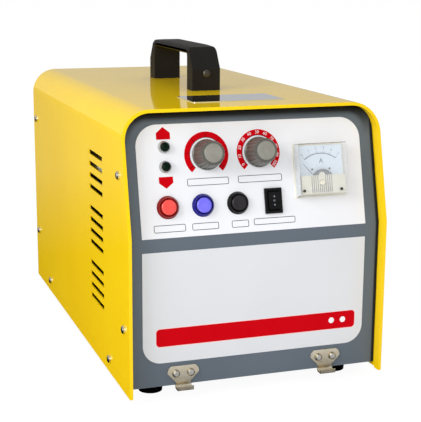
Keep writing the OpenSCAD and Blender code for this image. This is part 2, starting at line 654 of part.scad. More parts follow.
// Lamps: a turned bezel and a domed lens
lamp_barrel_d = 7.8;
lamp_barrel_l = 12;
lamp_bezel_h = 2;
lamp_bezel_share = 0.86;
lens_d = 5.2;
lens_back = 8;
lens_up = 0.9;
module lamp_bezels() color("silver") for (s = lamp_y_shares) on_slope(lamp_x, s * label_len) difference() {
    union() {
        translate([0, 0, -lamp_barrel_l]) cylinder(d = lamp_barrel_d, h = lamp_barrel_l + film_t);
        translate([0, 0, film_t]) cylinder(d1 = lamp_d, d2 = lamp_d * lamp_bezel_share, h = lamp_bezel_h);
    }
    translate([0, 0, -lamp_barrel_l - cut])
        cylinder(r = lens_d / 2 + run_gap, h = lamp_barrel_l + film_t + lamp_bezel_h + 2 * cut);
}
module lamp_lenses() color("darkgreen") for (s = lamp_y_shares) on_slope(lamp_x, s * label_len) {
    translate([0, 0, -lens_back]) cylinder(d = lens_d, h = lens_back + film_t + lens_up);
    translate([0, 0, film_t + lens_up]) sphere(d = lens_d);
}

// Panel meter, built up from its flange: case, dial, mask, movement, needle and clear cover
meter_barrel_d = 38;
meter_barrel_l = 22;
meter_barrel_down = 4;
barrel_wall = 1.7;
meter_flange_t = 2.5;
platform_w = 43;
platform_l = 40;
platform_up = 2.5;
meter_wall = 1.3;
meter_draft = 1.7;
dial_w = 42;
dial_t = 0.4;
dial_top = 19.5;
mask_w = 42.4;
mask_low = 20.4;
mask_top = 6.5;
meter_pivot_down = 9.8;
pocket_r = 5.4;
pocket_h = 3.2;
needle_l = 22;
needle_w = 0.6;
needle_t = 0.5;
needle_up = 1.3;
needle_sweep = 84;
hub_d = 4;
hub_h = 2;
spindle_d = 2;
shield_r = 9.2;
shield_t = 0.8;
shield_up = 2.4;
post_share = 0.86;
magnet_d = 23.6;
magnet_l = 15;
zero_d = 4;
zero_up = 0.6;
zero_slot_w = 0.8;
mask_ribs = 11;
mask_rib_pitch = 1.7;
mask_groove_w = 0.8;
mask_groove_t = 0.6;
mask_groove_l = 7;
meter_screw_x = 16.8;
meter_screw_y = -16;
meter_screw_d = 2;
meter_head_d = 4;
meter_head_h = 0.8;
platform_z = meter_flange_t + platform_up;
mask_z = meter_h - meter_wall - panel_gap;
hub_z = platform_z + dial_t + slide_gap;
magnet_z = barrel_wall - meter_barrel_l;
module on_meter() on_slope(meter_x, meter_y) translate([0, 0, film_t]) children();
module meter_screw_holes() for (x = [-1, 1]) translate([x * meter_screw_x, meter_screw_y, meter_flange_t / 2])
    cylinder(r = meter_screw_d / 2 + screw_gap, h = meter_h, $fn = small_fn);
module meter_case() color("ivory") on_meter() difference() {
    union() {
        box(meter_w, meter_l, meter_flange_t);
        box(platform_w, platform_l, platform_z);
        translate([0, -meter_barrel_down, -meter_barrel_l]) cylinder(d = meter_barrel_d, h = meter_barrel_l + meter_flange_t);
        for (x = [-1, 1]) translate([2 * x * tab_w, 0, -meter_barrel_l - tab_l]) cylinder(d = tab_w, h = tab_l + cut);
    }
    translate([0, -meter_pivot_down, magnet_z]) cylinder(r = magnet_d / 2 + run_gap, h = -magnet_z);
    translate([0, -meter_pivot_down, magnet_z]) cylinder(d = 2 * hub_d, h = meter_barrel_l + platform_z);
    meter_screw_holes();
}
module frustum(w, l, draft, h) intersection() {
    across(w) polygon([[-l / 2, 0], [l / 2, 0], [l / 2 - draft, h], [draft - l / 2, h]]);
    along(l) polygon([[-w / 2, 0], [w / 2, 0], [w / 2 - draft, h], [draft - w / 2, h]]);
}
module meter_cover() color("lightcyan", 0.35) on_meter() difference() {
    translate([0, 0, meter_flange_t]) difference() {
        frustum(meter_w, meter_l, meter_draft, meter_h - meter_flange_t);
        translate([0, 0, -meter_wall])
            frustum(meter_w - 2 * meter_wall, meter_l - 2 * meter_wall, meter_draft, meter_h - meter_flange_t);
    }
    translate([0, -meter_pivot_down, platform_z]) cylinder(r = zero_d / 2 + run_gap, h = meter_h);
    meter_screw_holes();
}
module meter_dial() color("aliceblue") on_meter() translate([-dial_w / 2, -mask_top, platform_z])
    cube([dial_w, dial_top + mask_top, dial_t]);
module meter_mask() color("ivory") on_meter() difference() {
    translate([-mask_w / 2, -mask_low, platform_z]) cube([mask_w, mask_low - mask_top - run_gap, mask_z - platform_z]);
    translate([0, -meter_pivot_down, platform_z - cut]) cylinder(r = pocket_r, h = pocket_h + cut);
    translate([0, -meter_pivot_down, platform_z]) cylinder(r = zero_d / 2 + slide_gap, h = meter_h);
    for (k = [0 : mask_ribs - 1])
        translate([(k - (mask_ribs - 1) / 2) * mask_rib_pitch, mask_groove_l / 2 - mask_low - cut, mask_z - mask_groove_t])
            box(mask_groove_w, mask_groove_l, mask_groove_t + cut);
    meter_screw_holes();
}
module meter_movement() color("gray") on_meter() translate([0, -meter_pivot_down, 0]) {
    translate([0, 0, magnet_z]) difference() {
        cylinder(d = magnet_d, h = magnet_l);
        translate([0, 0, -cut]) cylinder(r = spindle_d / 2 + run_gap, h = magnet_l + 2 * cut);
    }
    translate([0, 0, platform_z + dial_t + shield_up]) difference() {
        cylinder(r = shield_r, h = shield_t);
        translate([-shield_r, meter_pivot_down - mask_top - 2 * shield_r, -cut])
            cube([2 * shield_r, 2 * shield_r, shield_t + 2 * cut]);
    }
    for (x = [-1, 1]) translate([x * shield_r * post_share, meter_pivot_down - mask_top + shield_t / 2, platform_z + dial_t])
        cylinder(d = shield_t, h = shield_up + shield_t / 2, $fn = small_fn);
}
module meter_needle() color("black") on_meter() translate([0, -meter_pivot_down, 0]) rotate([0, 0, needle_sweep / 2]) {
    translate([0, 0, hub_z]) cylinder(d = hub_d, h = hub_h, $fn = small_fn);
    translate([-needle_w / 2, 0, hub_z + needle_up - needle_t]) cube([needle_w, needle_l, needle_t]);
    translate([0, 0, magnet_z + magnet_l - shaft_in])
        cylinder(d = spindle_d, h = hub_z + cut - magnet_z - magnet_l + shaft_in, $fn = small_fn);
}
module zero_screw() color("ivory") on_meter() translate([0, -meter_pivot_down, hub_z + hub_h + slide_gap]) difference() {
    cylinder(d = zero_d, h = meter_h + zero_up - hub_z - hub_h - slide_gap, $fn = small_fn);
    translate([0, 0, meter_h + zero_up - hub_z - hub_h - slide_gap]) cube([2 * zero_d, zero_slot_w, zero_up], center = true);
}
module meter_screws() color("black") for (x = [-1, 1]) on_meter() translate([x * meter_screw_x, meter_screw_y, meter_h])
    pan_screw(meter_screw_d, meter_h - meter_flange_t, meter_head_d, meter_head_h);

// Places of the rear fittings, seen from behind
fan_x_share = 0.24;
fan_z_share = 0.68;
fitting_z_share = 0.2;
inlet_x_share = 0.26;
power_x_share = -0.03;
fuse_x_share = -0.2;
socket_x_share = -0.27;
socket_z_shares = [0.82, 0.64, 0.46];
fan_x = fan_x_share * panel_w;
fan_z = base_z + fan_z_share * case_h;
fitting_z = base_z + fitting_z_share * case_h;
inlet_x = inlet_x_share * panel_w;
power_x = power_x_share * panel_w;
fuse_x = fuse_x_share * panel_w;
socket_places = [for (s = socket_z_shares) [socket_x_share * panel_w, base_z + s * case_h]];

// Fan: a square frame with struts and a stator, and a rotor cup with seven swept and twisted blades
fan_wall = 2;
fan_corner_in = 4.25;
fan_corner_r = 5;
fan_strut_w = 4;
fan_screw_d = 4;
motor_d = 34;
motor_t = 4;
rotor_front_gap = 3;
rotor_shaft_d = 3;
rotor_shaft_l = 3.5;
rotor_wall = 2;
stator_gap = 1;
fan_bore_d = fan_size - 2 * fan_wall;
fan_screw_pitch = fan_size - 2 * fan_corner_in;
rotor_t = fan_t - motor_t - rotor_front_gap;
fan_back = -panel_t - fan_t;
rotor_z = fan_back + motor_t + slide_gap;
module fan_corners() for (x = [-1, 1], y = [-1, 1]) translate([x, y, 0] * fan_screw_pitch / 2) children();
module fan_frame() color("#1c1c1c") on_rear(fan_x, fan_z) difference() {
    union() {
        translate([0, 0, fan_back]) linear_extrude(fan_t) difference() {
            rounded(fan_size, fan_size, fan_corner_r);
            circle(d = fan_bore_d);
        }
        translate([0, 0, fan_back]) cylinder(d = motor_d, h = motor_t);
        translate([0, 0, fan_back])
            cylinder(r = motor_d / 2 - rotor_wall - stator_gap, h = motor_t + rotor_t - rotor_wall - stator_gap);
        for (a = [45 : 90 : 315]) rotate([0, 0, a]) translate([(motor_d + fan_bore_d) / 4, 0, fan_back])
            box((fan_bore_d - motor_d) / 2 + fan_wall, fan_strut_w, motor_t);
    }
    fan_corners() translate([0, 0, fan_back - cut])
        cylinder(r = fan_screw_d / 2 + screw_gap, h = fan_t + 2 * cut, $fn = small_fn);
    translate([0, 0, fan_back - cut]) cylinder(r = rotor_shaft_d / 2 + run_gap, h = fan_t, $fn = small_fn);
}
// A blade is a thin sheet from the hub's wall to its tip. The share u runs outward, v from edge to edge
blade_t = 1.6;
tip_gap = 1.4;
root_turn = 44;
tip_turn = 40;
blade_sweep = 16;
root_rise_share = 0.8;
tip_rise_share = 0.5;
blade_u = 6;
blade_v = 4;
blade_root_r = motor_d / 2 - rotor_wall / 2;
blade_tip_r = fan_bore_d / 2 - tip_gap;
function mix(a, b, u) = a + (b - a) * u;
function blade_point(u, v, side) = let (
    r = mix(blade_root_r, blade_tip_r, u),
    turn = blade_sweep * u + v * mix(root_turn, tip_turn, u) / 2,
    rise = v * mix(root_rise_share, tip_rise_share, u) * (rotor_t - blade_t) / 2)
    [r * cos(turn), r * sin(turn), rise + side * blade_t / 2];
function blade_index(side, i, j) = (side * (blade_u + 1) + i) * (blade_v + 1) + j;
module fan_blade() polyhedron(
    points = [for (side = [-1, 1], i = [0 : blade_u], j = [0 : blade_v]) blade_point(i / blade_u, 2 * j / blade_v - 1, side)],
    faces = [
        for (i = [0 : blade_u - 1], j = [0 : blade_v - 1], half = [0, 1]) [
            blade_index(1, i, j), blade_index(1, i + half, j + 1), blade_index(1, i + 1, j + 1 - half)],
        for (i = [0 : blade_u - 1], j = [0 : blade_v - 1], half = [0, 1]) [
            blade_index(0, i, j), blade_index(0, i + 1, j + 1 - half), blade_index(0, i + half, j + 1)],
        for (j = [0 : blade_v - 1]) [
            blade_index(0, 0, j + 1), blade_index(1, 0, j + 1), blade_index(1, 0, j), blade_index(0, 0, j)],
        for (j = [0 : blade_v - 1]) [
            blade_index(0, blade_u, j), blade_index(1, blade_u, j),
            blade_index(1, blade_u, j + 1), blade_index(0, blade_u, j + 1)],
        for (i = [0 : blade_u - 1]) [
            blade_index(0, i, 0), blade_index(1, i, 0), blade_index(1, i + 1, 0), blade_index(0, i + 1, 0)],
        for (i = [0 : blade_u - 1]) [
            blade_index(0, i + 1, blade_v), blade_index(1, i + 1, blade_v),
            blade_index(1, i, blade_v), blade_index(0, i, blade_v)]]);
module fan_rotor() color("#262626") on_rear(fan_x, fan_z) {
    difference() {
        translate([0, 0, rotor_z]) cylinder(d = motor_d, h = rotor_t);
        translate([0, 0, rotor_z - cut]) cylinder(d = motor_d - 2 * rotor_wall, h = rotor_t - rotor_wall + cut);
    }
    translate([0, 0, rotor_z - rotor_shaft_l])
        cylinder(d = rotor_shaft_d, h = rotor_t + rotor_shaft_l - rotor_wall / 2, $fn = small_fn);
    translate([0, 0, rotor_z + rotor_t / 2]) for (k = [0 : fan_blades - 1]) rotate([0, 0, k * 360 / fan_blades]) fan_blade();
}

// Fan guard: welded wire rings, four radial wires and their eyes. Its screws share a node with the inlet's
wire_d = 1.8;
weld_share = 0.8;
guard_up = 4;
guard_rings = 4;
guard_inner_r = 11;
eye_r = 4.4;
eye_h = guard_up - weld_share * wire_d + wire_d;
rear_screw_tail = 4;
fan_nut_flats = 7;
fan_nut_h = 3;
guard_pitch = (fan_bore_d / 2 - guard_inner_r) / guard_rings;
corner_r = fan_screw_pitch / 2 * sqrt(2);
module fan_guard() color("silver") on_rear(fan_x, fan_z) {
    for (k = [0 : guard_rings]) translate([0, 0, guard_up]) rotate_extrude()
        translate([guard_inner_r + k * guard_pitch, 0]) circle(d = wire_d, $fn = small_fn);
    for (a = [45 : 90 : 315]) rotate([0, 0, a]) {
        translate([guard_inner_r - wire_d, 0, guard_up - weld_share * wire_d]) rotate([0, 90, 0])
            cylinder(d = wire_d, h = corner_r - guard_inner_r - eye_r + wire_d + wire_d / 2, $fn = small_fn);
        translate([corner_r, 0, 0]) tube(eye_r, eye_r - wire_d, eye_h);
    }
}
module rear_screws() color("silver") {
    on_rear(fan_x, fan_z) fan_corners() {
        translate([0, 0, eye_h]) pan_screw(fan_screw_d, eye_h + panel_t + fan_t + rear_screw_tail, 2 * eye_r, head_h);
        translate([0, 0, fan_back - fan_nut_h]) hex_nut(fan_nut_flats, fan_screw_d + 2 * run_gap, fan_nut_h);
    }
    on_rear(inlet_x, fitting_z) for (x = [-1, 1]) translate([x * inlet_screw_pitch / 2, 0, inlet_flange_t])
        pan_screw(inlet_screw_d, inlet_flange_t + panel_t + rear_screw_tail, keeper_head_d, keeper_head_h);
}

// Mains inlet: a flanged socket with three blades
inlet_w = 27;
inlet_h = 20;
inlet_depth = 22;
inlet_cavity_w = 24;
inlet_cavity_h = 16.4;
inlet_cavity_d = 17;
inlet_flange_w = 50;
inlet_flange_h = 23;
inlet_flange_t = 3;
inlet_flange_r = 3;
inlet_screw_pitch = 40;
inlet_screw_d = 3;
inlet_blade_w = 2;
inlet_blade_h = 4;
inlet_blade_l = 14;
inlet_blade_pitch = 7;
inlet_earth_up = 2;
module mains_inlet() color("#1a1a1a") on_rear(inlet_x, fitting_z) {
    difference() {
        union() {
            linear_extrude(inlet_flange_t) rounded(inlet_flange_w, inlet_flange_h, inlet_flange_r);
            translate([0, 0, -inlet_depth]) box(inlet_w, inlet_h, inlet_depth + inlet_flange_t);
        }
        translate([0, 0, inlet_flange_t - inlet_cavity_d]) box(inlet_cavity_w, inlet_cavity_h, inlet_cavity_d + cut);
        for (x = [-1, 1]) translate([x * inlet_screw_pitch / 2, 0, -cut])
            cylinder(r = inlet_screw_d / 2 + screw_gap, h = inlet_flange_t + 2 * cut, $fn = small_fn);
    }
    for (k = [-1 : 1]) translate([k * inlet_blade_pitch, (k == 0 ? 1 : -1) * inlet_earth_up, inlet_flange_t - inlet_cavity_d - cut])
        box(inlet_blade_w, inlet_blade_h, inlet_blade_l + cut);
}

// Fuse holder and its quarter-turn cap
fuse_barrel_d = 12.6;
fuse_barrel_l = 34;
fuse_flange_d = 16;
fuse_flange_t = 2.5;
fuse_cap_d = 12;
fuse_cap_h = 5.5;
fuse_stem_d = 9;
fuse_stem_l = 12;
fuse_slot_w = 1.4;
fuse_slot_h = 1.6;
fuse_cap_z = fuse_flange_t + slide_gap;
module fuse_holder() color("#202020") on_rear(fuse_x, fitting_z) difference() {
    union() {
        cylinder(d = fuse_flange_d, h = fuse_flange_t);
        translate([0, 0, -fuse_barrel_l]) cylinder(d = fuse_barrel_d, h = fuse_barrel_l + fuse_flange_t);
    }
    translate([0, 0, -fuse_stem_l - slide_gap])
        cylinder(r = fuse_stem_d / 2 + slide_gap, h = fuse_stem_l + slide_gap + fuse_flange_t + cut);
}
module fuse_cap() color("#262626") on_rear(fuse_x, fitting_z) difference() {
    union() {
        translate([0, 0, fuse_cap_z]) cylinder(d = fuse_cap_d, h = fuse_cap_h);
        translate([0, 0, -fuse_stem_l]) cylinder(d = fuse_stem_d, h = fuse_stem_l + fuse_cap_z + cut);
    }
    translate([0, 0, fuse_cap_z + fuse_cap_h]) cube([2 * fuse_cap_d, fuse_slot_w, 2 * fuse_slot_h], center = true);
}

// Round sockets for the head's leads, each with its ring of pins
socket_flange_d = 26;
socket_flange_t = 2.5;
socket_shell_d = 19.6;
socket_shell_h = 9.5;
socket_bore_d = 16;
socket_floor = 1;
socket_barrel_d = 18;
socket_barrel_l = 12;
socket_pin_d = 1.6;
socket_pin_h = 6;
socket_pin_ring_r = 5.4;
socket_pins = [7, 4, 5];
module round_sockets() color("silver") for (i = [0 : len(socket_places) - 1])
    on_rear(socket_places[i][0], socket_places[i][1]) {
        difference() {
            union() {
                cylinder(d = socket_flange_d, h = socket_flange_t);
                cylinder(d = socket_shell_d, h = socket_shell_h);
                translate([0, 0, -socket_barrel_l]) cylinder(d = socket_barrel_d, h = socket_barrel_l + socket_flange_t);
            }
            translate([0, 0, socket_floor]) cylinder(d = socket_bore_d, h = socket_shell_h);
        }
        for (k = [1 : socket_pins[i]]) rotate([0, 0, k * 360 / socket_pins[i]])
            translate([socket_pin_ring_r, 0, 0]) cylinder(d = socket_pin_d, h = socket_floor + socket_pin_h, $fn = small_fn);
    }

// Transformer: a laminated core, its wound coil, and clamps with their bolts
core_x_share = 0.06;
core_y_share = 0.19;
leg_share = 1 / 6;
window_h_share = 0.62;
coil_out = 20;
coil_r = 8;
coil_gap = 0.4;
clamp_t = 2.5;
clamp_foot_d = 18;
core_x = core_x_share * panel_w;
core_y = core_y_share * case_d;
core_z = tray_z + clamp_t;
leg_w = core_w * leg_share;
window_h = core_h * window_h_share;
yoke_h = (core_h - window_h) / 2;
clamp_bolt_x = (core_w - leg_w) / 2;
clamp_bolt_y = core_t / 2 + clamp_t + clamp_foot_d / 2;
module yoke_bolt_places() for (x = [-1, 1], z = [leg_w / 2, core_h - leg_w / 2])
    translate([x * clamp_bolt_x, 0, clamp_t + z]) rotate([90, 0, 0]) children();
module transformer_core() color("dimgray") translate([core_x, core_y, tray_z]) difference() {
    translate([0, 0, clamp_t]) box(core_w, core_t, core_h);
    for (x = [-1, 1]) translate([x * (leg_w + leg_w / 2), 0, clamp_t + yoke_h]) box(leg_w, core_t + 2 * cut, window_h);
    yoke_bolt_places() cylinder(r = screw_d / 2 + screw_gap, h = core_t + 2 * cut, center = true, $fn = small_fn);
}
module transformer_coil() color("#c77b30") translate([core_x, core_y, core_z + yoke_h + coil_gap]) difference() {
    linear_extrude(window_h - 2 * coil_gap) rounded(4 * leg_w - 2 * coil_gap, core_t + 2 * coil_out, coil_r);
    translate([0, 0, -cut]) box(2 * (leg_w + coil_gap), core_t + 2 * coil_gap, window_h + 2 * cut);
}
module transformer_clamps() color("goldenrod") translate([core_x, core_y, tray_z]) {
    difference() {
        for (y = [-1, 1]) {
            translate([0, y * (core_t + clamp_t) / 2, 0]) box(core_w, clamp_t, clamp_t + yoke_h);
            translate([0, y * (core_t + clamp_foot_d) / 2, 0]) box(core_w, clamp_foot_d, clamp_t);
            translate([0, y * (core_t + clamp_t) / 2, clamp_t + yoke_h + window_h]) box(core_w, clamp_t, yoke_h);
        }
        for (x = [-1, 1], y = [-1, 1]) translate([x * clamp_bolt_x, y * clamp_bolt_y, -cut])
            cylinder(r = screw_d / 2 + screw_gap, h = clamp_t + 2 * cut, $fn = small_fn);
        yoke_bolt_places() cylinder(r = screw_d / 2 + screw_gap, h = 2 * core_t, center = true, $fn = small_fn);
    }
    yoke_bolt_places() translate([0, 0, core_t / 2 + clamp_t])
        pan_screw(screw_d, core_t + 2 * clamp_t + rear_screw_tail, head_d, head_h);
    yoke_bolt_places() translate([0, 0, -core_t / 2 - clamp_t - fan_nut_h])
        hex_nut(fan_nut_flats, screw_d + 2 * run_gap, fan_nut_h);
    for (x = [-1, 1], y = [-1, 1]) translate([x * clamp_bolt_x, y * clamp_bolt_y, clamp_t])
        pan_screw(screw_d, clamp_t + panel_t + keeper_screw_tail, head_d, head_h);
}

// Circuit board on threaded pillars, with its relays, terminal block and capacitors
board_x_share = 0.02;
board_y_share = -0.275;
board_t = 1.6;
pillar_h = 10;
pillar_w = 6;
standoff_screw_d = 3;
relay_w = 28;
relay_d = 12;
relay_h = 20;
relay_x_shares = [-0.3, -0.02];
relay_y_share = 0.3;
terminal_w = 44;
terminal_d = 10;
terminal_h = 12;
terminal_x_share = 0.2;
terminal_y_share = -0.38;
can_d = 35;
can_h = 52;
can_edge = 1.5;
can_x_shares = [-0.32, 0, 0.32];
can_y_share = -0.06;
small_can_d = 18;
small_can_h = 32;
small_can_x_share = 0.34;
small_can_y_share = 0.34;
board_x = board_x_share * panel_w;
board_y = board_y_share * case_d;
board_hole_x = board_w / 2 - pillar_w;
board_hole_y = board_d / 2 - pillar_w;
board_z = tray_z + pillar_h;
board_top = board_z + board_t;
module power_board() color("darkgreen") translate([board_x, board_y, 0]) {
    translate([0, 0, board_z]) box(board_w, board_d, board_t);
    for (x = [-1, 1], y = [-1, 1]) translate([x * board_hole_x, y * board_hole_y, 0]) {
        translate([0, 0, tray_z]) cylinder(d = pillar_w, h = pillar_h + board_t / 2, $fn = 6);
        translate([0, 0, panel_bottom - keeper_screw_tail])
            cylinder(d = standoff_screw_d, h = keeper_screw_tail + panel_t + cut, $fn = small_fn);
    }
    for (s = relay_x_shares) translate([s * board_w, relay_y_share * board_d, board_z]) box(relay_w, relay_d, board_t + relay_h);
    translate([terminal_x_share * board_w, terminal_y_share * board_d, board_z]) box(terminal_w, terminal_d, board_t + terminal_h);
}
module can(d, h) rotate_extrude() polygon([[0, 0], [d / 2, 0], [d / 2, h - can_edge], [d / 2 - can_edge, h], [0, h]]);
module capacitors() color("#25408f") translate([board_x, board_y, board_top]) {
    for (s = can_x_shares) translate([s * board_w, can_y_share * board_d, 0]) can(can_d, can_h);
    translate([small_can_x_share * board_w, small_can_y_share * board_d, 0]) can(small_can_d, small_can_h);
}

// Heat sink beside the left vents, with its power devices, and the ceramic resistors on top of it
sink_front = 108;
sink_in = 11;
sink_t = 4;
fin_l = 20;
fin_t = 1.8;
fin_low = 22;
sink_foot_d = 14;
sink_foot_t = 3;
sink_x = sink_in + fin_l - panel_w / 2;
sink_y = front_y + sink_front + sink_l / 2;
sink_top = tray_z + sink_h;
device_w = 16;
device_h = 20;
device_t = 5;
bridge_w = 28;
bridge_t = 10;
device_y_shares = [-0.3, 0.02, 0.34];
device_z_share = 0.6;
bridge_z_share = 0.3;
module heat_sink() color("#202224") translate([sink_x, sink_y, tray_z]) {
    translate([sink_t / 2, 0, 0]) box(sink_t, sink_l, sink_h);
    translate([sink_foot_d / 2, 0, 0]) box(sink_foot_d, sink_l, sink_foot_t);
    for (k = [0 : sink_fins - 1])
        translate([(sink_t - fin_l) / 2, 0, sink_h - fin_t - k * (sink_h - fin_t - fin_low) / (sink_fins - 1)])
            box(fin_l + sink_t, sink_l, fin_t);
}
module power_devices() color("#1b1b1b") translate([sink_x + sink_t, sink_y, tray_z]) {
    for (s = device_y_shares) translate([device_t / 2, s * sink_l, device_z_share * sink_h]) box(device_t, device_w, device_h);
    translate([bridge_t / 2, 0, bridge_z_share * sink_h]) box(bridge_t, bridge_w, bridge_w);
}
resistor_d = 12;
resistor_bore_d = 6;
resistor_l = 84;
resistor_up = 9.5;
resistor_in = 2;
resistor_gap = 3;
resistor_front = 4;
bracket_sheet_t = 1.5;
bracket_foot_d = 8;
peg_l = 3;
resistor_pitch = resistor_d + resistor_gap;
resistor_x = sink_x - fin_l + resistor_in;
resistor_y = front_y + sink_front + resistor_front;
resistor_z = sink_top + resistor_up + resistor_d / 2;
bracket_w = resistor_pitch + resistor_d;
module resistor_places() for (k = [0, 1]) translate([resistor_x + k * resistor_pitch, 0, resistor_z]) rotate([-90, 0, 0])
    children();
module discharge_resistors() color("#dfe3cf") translate([0, resistor_y, 0]) resistor_places()
    tube(resistor_d / 2, resistor_bore_d / 2, resistor_l);
module resistor_brackets() color("silver") for (end = [0, 1])
    translate([0, resistor_y + end * resistor_l, 0]) mirror([0, end, 0]) {
        translate([resistor_x + resistor_pitch / 2, -bracket_sheet_t / 2, sink_top])
            box(bracket_w, bracket_sheet_t, resistor_up + resistor_d);
        translate([resistor_x + resistor_pitch / 2, bracket_foot_d / 2 - bracket_sheet_t, sink_top])
            box(bracket_w, bracket_foot_d, bracket_sheet_t);
        resistor_places() translate([0, 0, -bracket_sheet_t / 2])
            cylinder(r = resistor_bore_d / 2 - run_gap, h = peg_l + bracket_sheet_t / 2, $fn = small_fn);
    }

// Wiring loom: from the board's terminal block along the tray to the lowest round socket
loom_d = 7;
loom_in = 12;
loom_rear = 58;
loom_x = panel_w / 2 - loom_in;
loom_y = board_y + terminal_y_share * board_d;
loom_z = tray_z + loom_d / 2;
loom_points = [
    [board_x + terminal_x_share * board_w + terminal_w / 2, loom_y, board_top + terminal_h / 2],
    [loom_x, loom_y, board_top + terminal_h / 2], [loom_x, loom_y, loom_z], [loom_x, back_y - loom_rear, loom_z],
    [-socket_places[2][0], back_y - loom_rear, loom_z], [-socket_places[2][0], back_y - loom_rear, socket_places[2][1]],
    [-socket_places[2][0], back_y - socket_barrel_l, socket_places[2][1]]];
module link(a, b) translate(a) rotate([0, acos((b - a)[2] / norm(b - a)), atan2((b - a)[1], (b - a)[0])])
    cylinder(d = loom_d, h = norm(b - a), $fn = small_fn);
module wiring_loom() color("#303030") {
    for (i = [1 : len(loom_points) - 1]) link(loom_points[i - 1], loom_points[i]);
    for (i = [1 : len(loom_points) - 2]) translate(loom_points[i]) sphere(d = loom_d, $fn = small_fn);
}

cover();
front_panel();
rear_panel();
base_tray();
control_overlay();
front_overlay();
top_plate();
handle_grip();
handle_brackets();
handle_screws();
case_screws();
rubber_feet();
foot_screws();
latch_keepers();
keeper_screws();
servo_knob();
servo_shaft();
servo_pot();
current_knob();
current_shaft();
current_pot();
panel_nuts();
red_button();
blue_button();
black_button();
red_button_body();
blue_button_body();
black_button_body();
manual_rocker();
manual_switch_body();
lamp_lenses();
lamp_bezels();
meter_case();
meter_cover();
meter_dial();
meter_mask();
meter_movement();
meter_needle();
zero_screw();
meter_screws();
fan_frame();
fan_rotor();
fan_guard();
rear_screws();
mains_inlet();
power_switch_body();
power_rocker();
fuse_holder();
fuse_cap();
round_sockets();
transformer_core();
transformer_coil();
transformer_clamps();
power_board();
capacitors();
heat_sink();
power_devices();
discharge_resistors();
resistor_brackets();
wiring_loom();
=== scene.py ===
import json
from math import cos, pi, radians, sin, tan

import bmesh
import bpy
import numpy as np
from mathutils import Matrix, Vector


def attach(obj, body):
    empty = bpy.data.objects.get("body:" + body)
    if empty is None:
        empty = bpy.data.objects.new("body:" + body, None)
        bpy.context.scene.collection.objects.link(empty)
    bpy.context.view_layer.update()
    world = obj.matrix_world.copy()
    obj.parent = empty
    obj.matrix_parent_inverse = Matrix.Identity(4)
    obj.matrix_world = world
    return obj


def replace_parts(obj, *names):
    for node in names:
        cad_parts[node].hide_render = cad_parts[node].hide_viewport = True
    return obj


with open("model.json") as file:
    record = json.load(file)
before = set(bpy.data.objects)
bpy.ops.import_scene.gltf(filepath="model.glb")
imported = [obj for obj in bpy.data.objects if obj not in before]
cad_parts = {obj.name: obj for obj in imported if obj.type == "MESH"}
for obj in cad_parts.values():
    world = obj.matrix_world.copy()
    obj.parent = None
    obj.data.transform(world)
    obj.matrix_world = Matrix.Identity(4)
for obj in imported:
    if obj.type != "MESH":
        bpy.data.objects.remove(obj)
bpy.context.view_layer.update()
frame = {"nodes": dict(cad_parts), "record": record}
nodes = frame["nodes"]

# Places on the unit in millimetres: x across, y towards the rear, z up from the bench
mm = 0.001
unit = dict(panelY=-188.0, bendZ=136.6, lean=radians(13.5), film=0.4, sideX=112.5)
leanCos, leanSin = cos(unit["lean"]), sin(unit["lean"])


# Places: each takes points (x, up, out) in millimetres and gives metres in the unit's frame
def onSlope(p):
    # the leaning face: up runs along the panel from its bend, out is square to it
    x, s, h = np.moveaxis(np.asarray(p, float), -1, 0)
    y = unit["panelY"] + s * leanSin - h * leanCos
    return np.stack([x, y, unit["bendZ"] + s * leanCos + h * leanSin], -1) * mm


def slopeAt(x, s, h):
    # the same from three rows of values
    return onSlope(np.stack([x, s, h], -1))


def onFront(p):
    # the upright face: up is the height above the bench
    x, z, h = np.moveaxis(np.asarray(p, float), -1, 0)
    return np.stack([x, unit["panelY"] - h, z], -1) * mm


def onSide(p, side):
    # a side of the cover: first value is y, out is away from the middle
    y, z, h = np.moveaxis(np.asarray(p, float), -1, 0)
    return np.stack([side * (unit["sideX"] + h), y, z], -1) * mm


def fromSlope(q):
    # back from the unit's frame to (x, up, out) on the leaning face, in millimetres
    x, y, z = np.moveaxis(np.asarray(q, float) / mm, -1, 0)
    y, z = y - unit["panelY"], z - unit["bendZ"]
    return np.stack([x, y * leanSin + z * leanCos, z * leanSin - y * leanCos], -1)


# Mesh makers: every shape is a whole array of points, joined in rows
def gridFaces(rows, columns, wrapRows=False, wrapColumns=False):
    # four neighbours of the grid make a face; a wrapped direction joins its last line to its first
    i = np.arange(rows if wrapRows else rows - 1)[:, None]
    j = np.arange(columns if wrapColumns else columns - 1)[None, :]
    a = i * columns + j
    b = i * columns + (j + 1) % columns
    c = ((i + 1) % rows) * columns + (j + 1) % columns
    d = ((i + 1) % rows) * columns + j
    return np.stack([a, b, c, d], -1).reshape(-1, 4).tolist()


def band(outer, inner, low, high, closed=True):
    # a flat ribbon: a rectangle from low to high carried between two outlines of as many points
    outer, inner = np.asarray(outer, float), np.asarray(inner, float)
    edge = [np.c_[inner, np.full(len(inner), low)], np.c_[outer, np.full(len(outer), low)],
            np.c_[outer, np.full(len(outer), high)], np.c_[inner, np.full(len(inner), high)]]
    points = np.stack(edge, 1)
    faces = gridFaces(len(outer), 4, closed, True)
    if not closed:
        last = 4 * (len(outer) - 1)
        faces += [[3, 2, 1, 0], [last, last + 1, last + 2, last + 3]]
    return points.reshape(-1, 3), faces


def plate(outline, low, high):
    # a flat plate: walls between two copies of the outline, and a face on each
    outline = np.asarray(outline, float)
    n = len(outline)
    points = np.concatenate([np.c_[outline, np.full(n, low)], np.c_[outline, np.full(n, high)]])
    faces = gridFaces(2, n, False, True) + [list(range(n))[::-1], list(range(n, 2 * n))]
    return points, faces


def bar(half, foot, top, low, high):
    # a plate that reaches half to each side of the middle line, from foot to top
    return plate([(-half, foot), (half, foot), (half, top), (-half, top)], low, high)


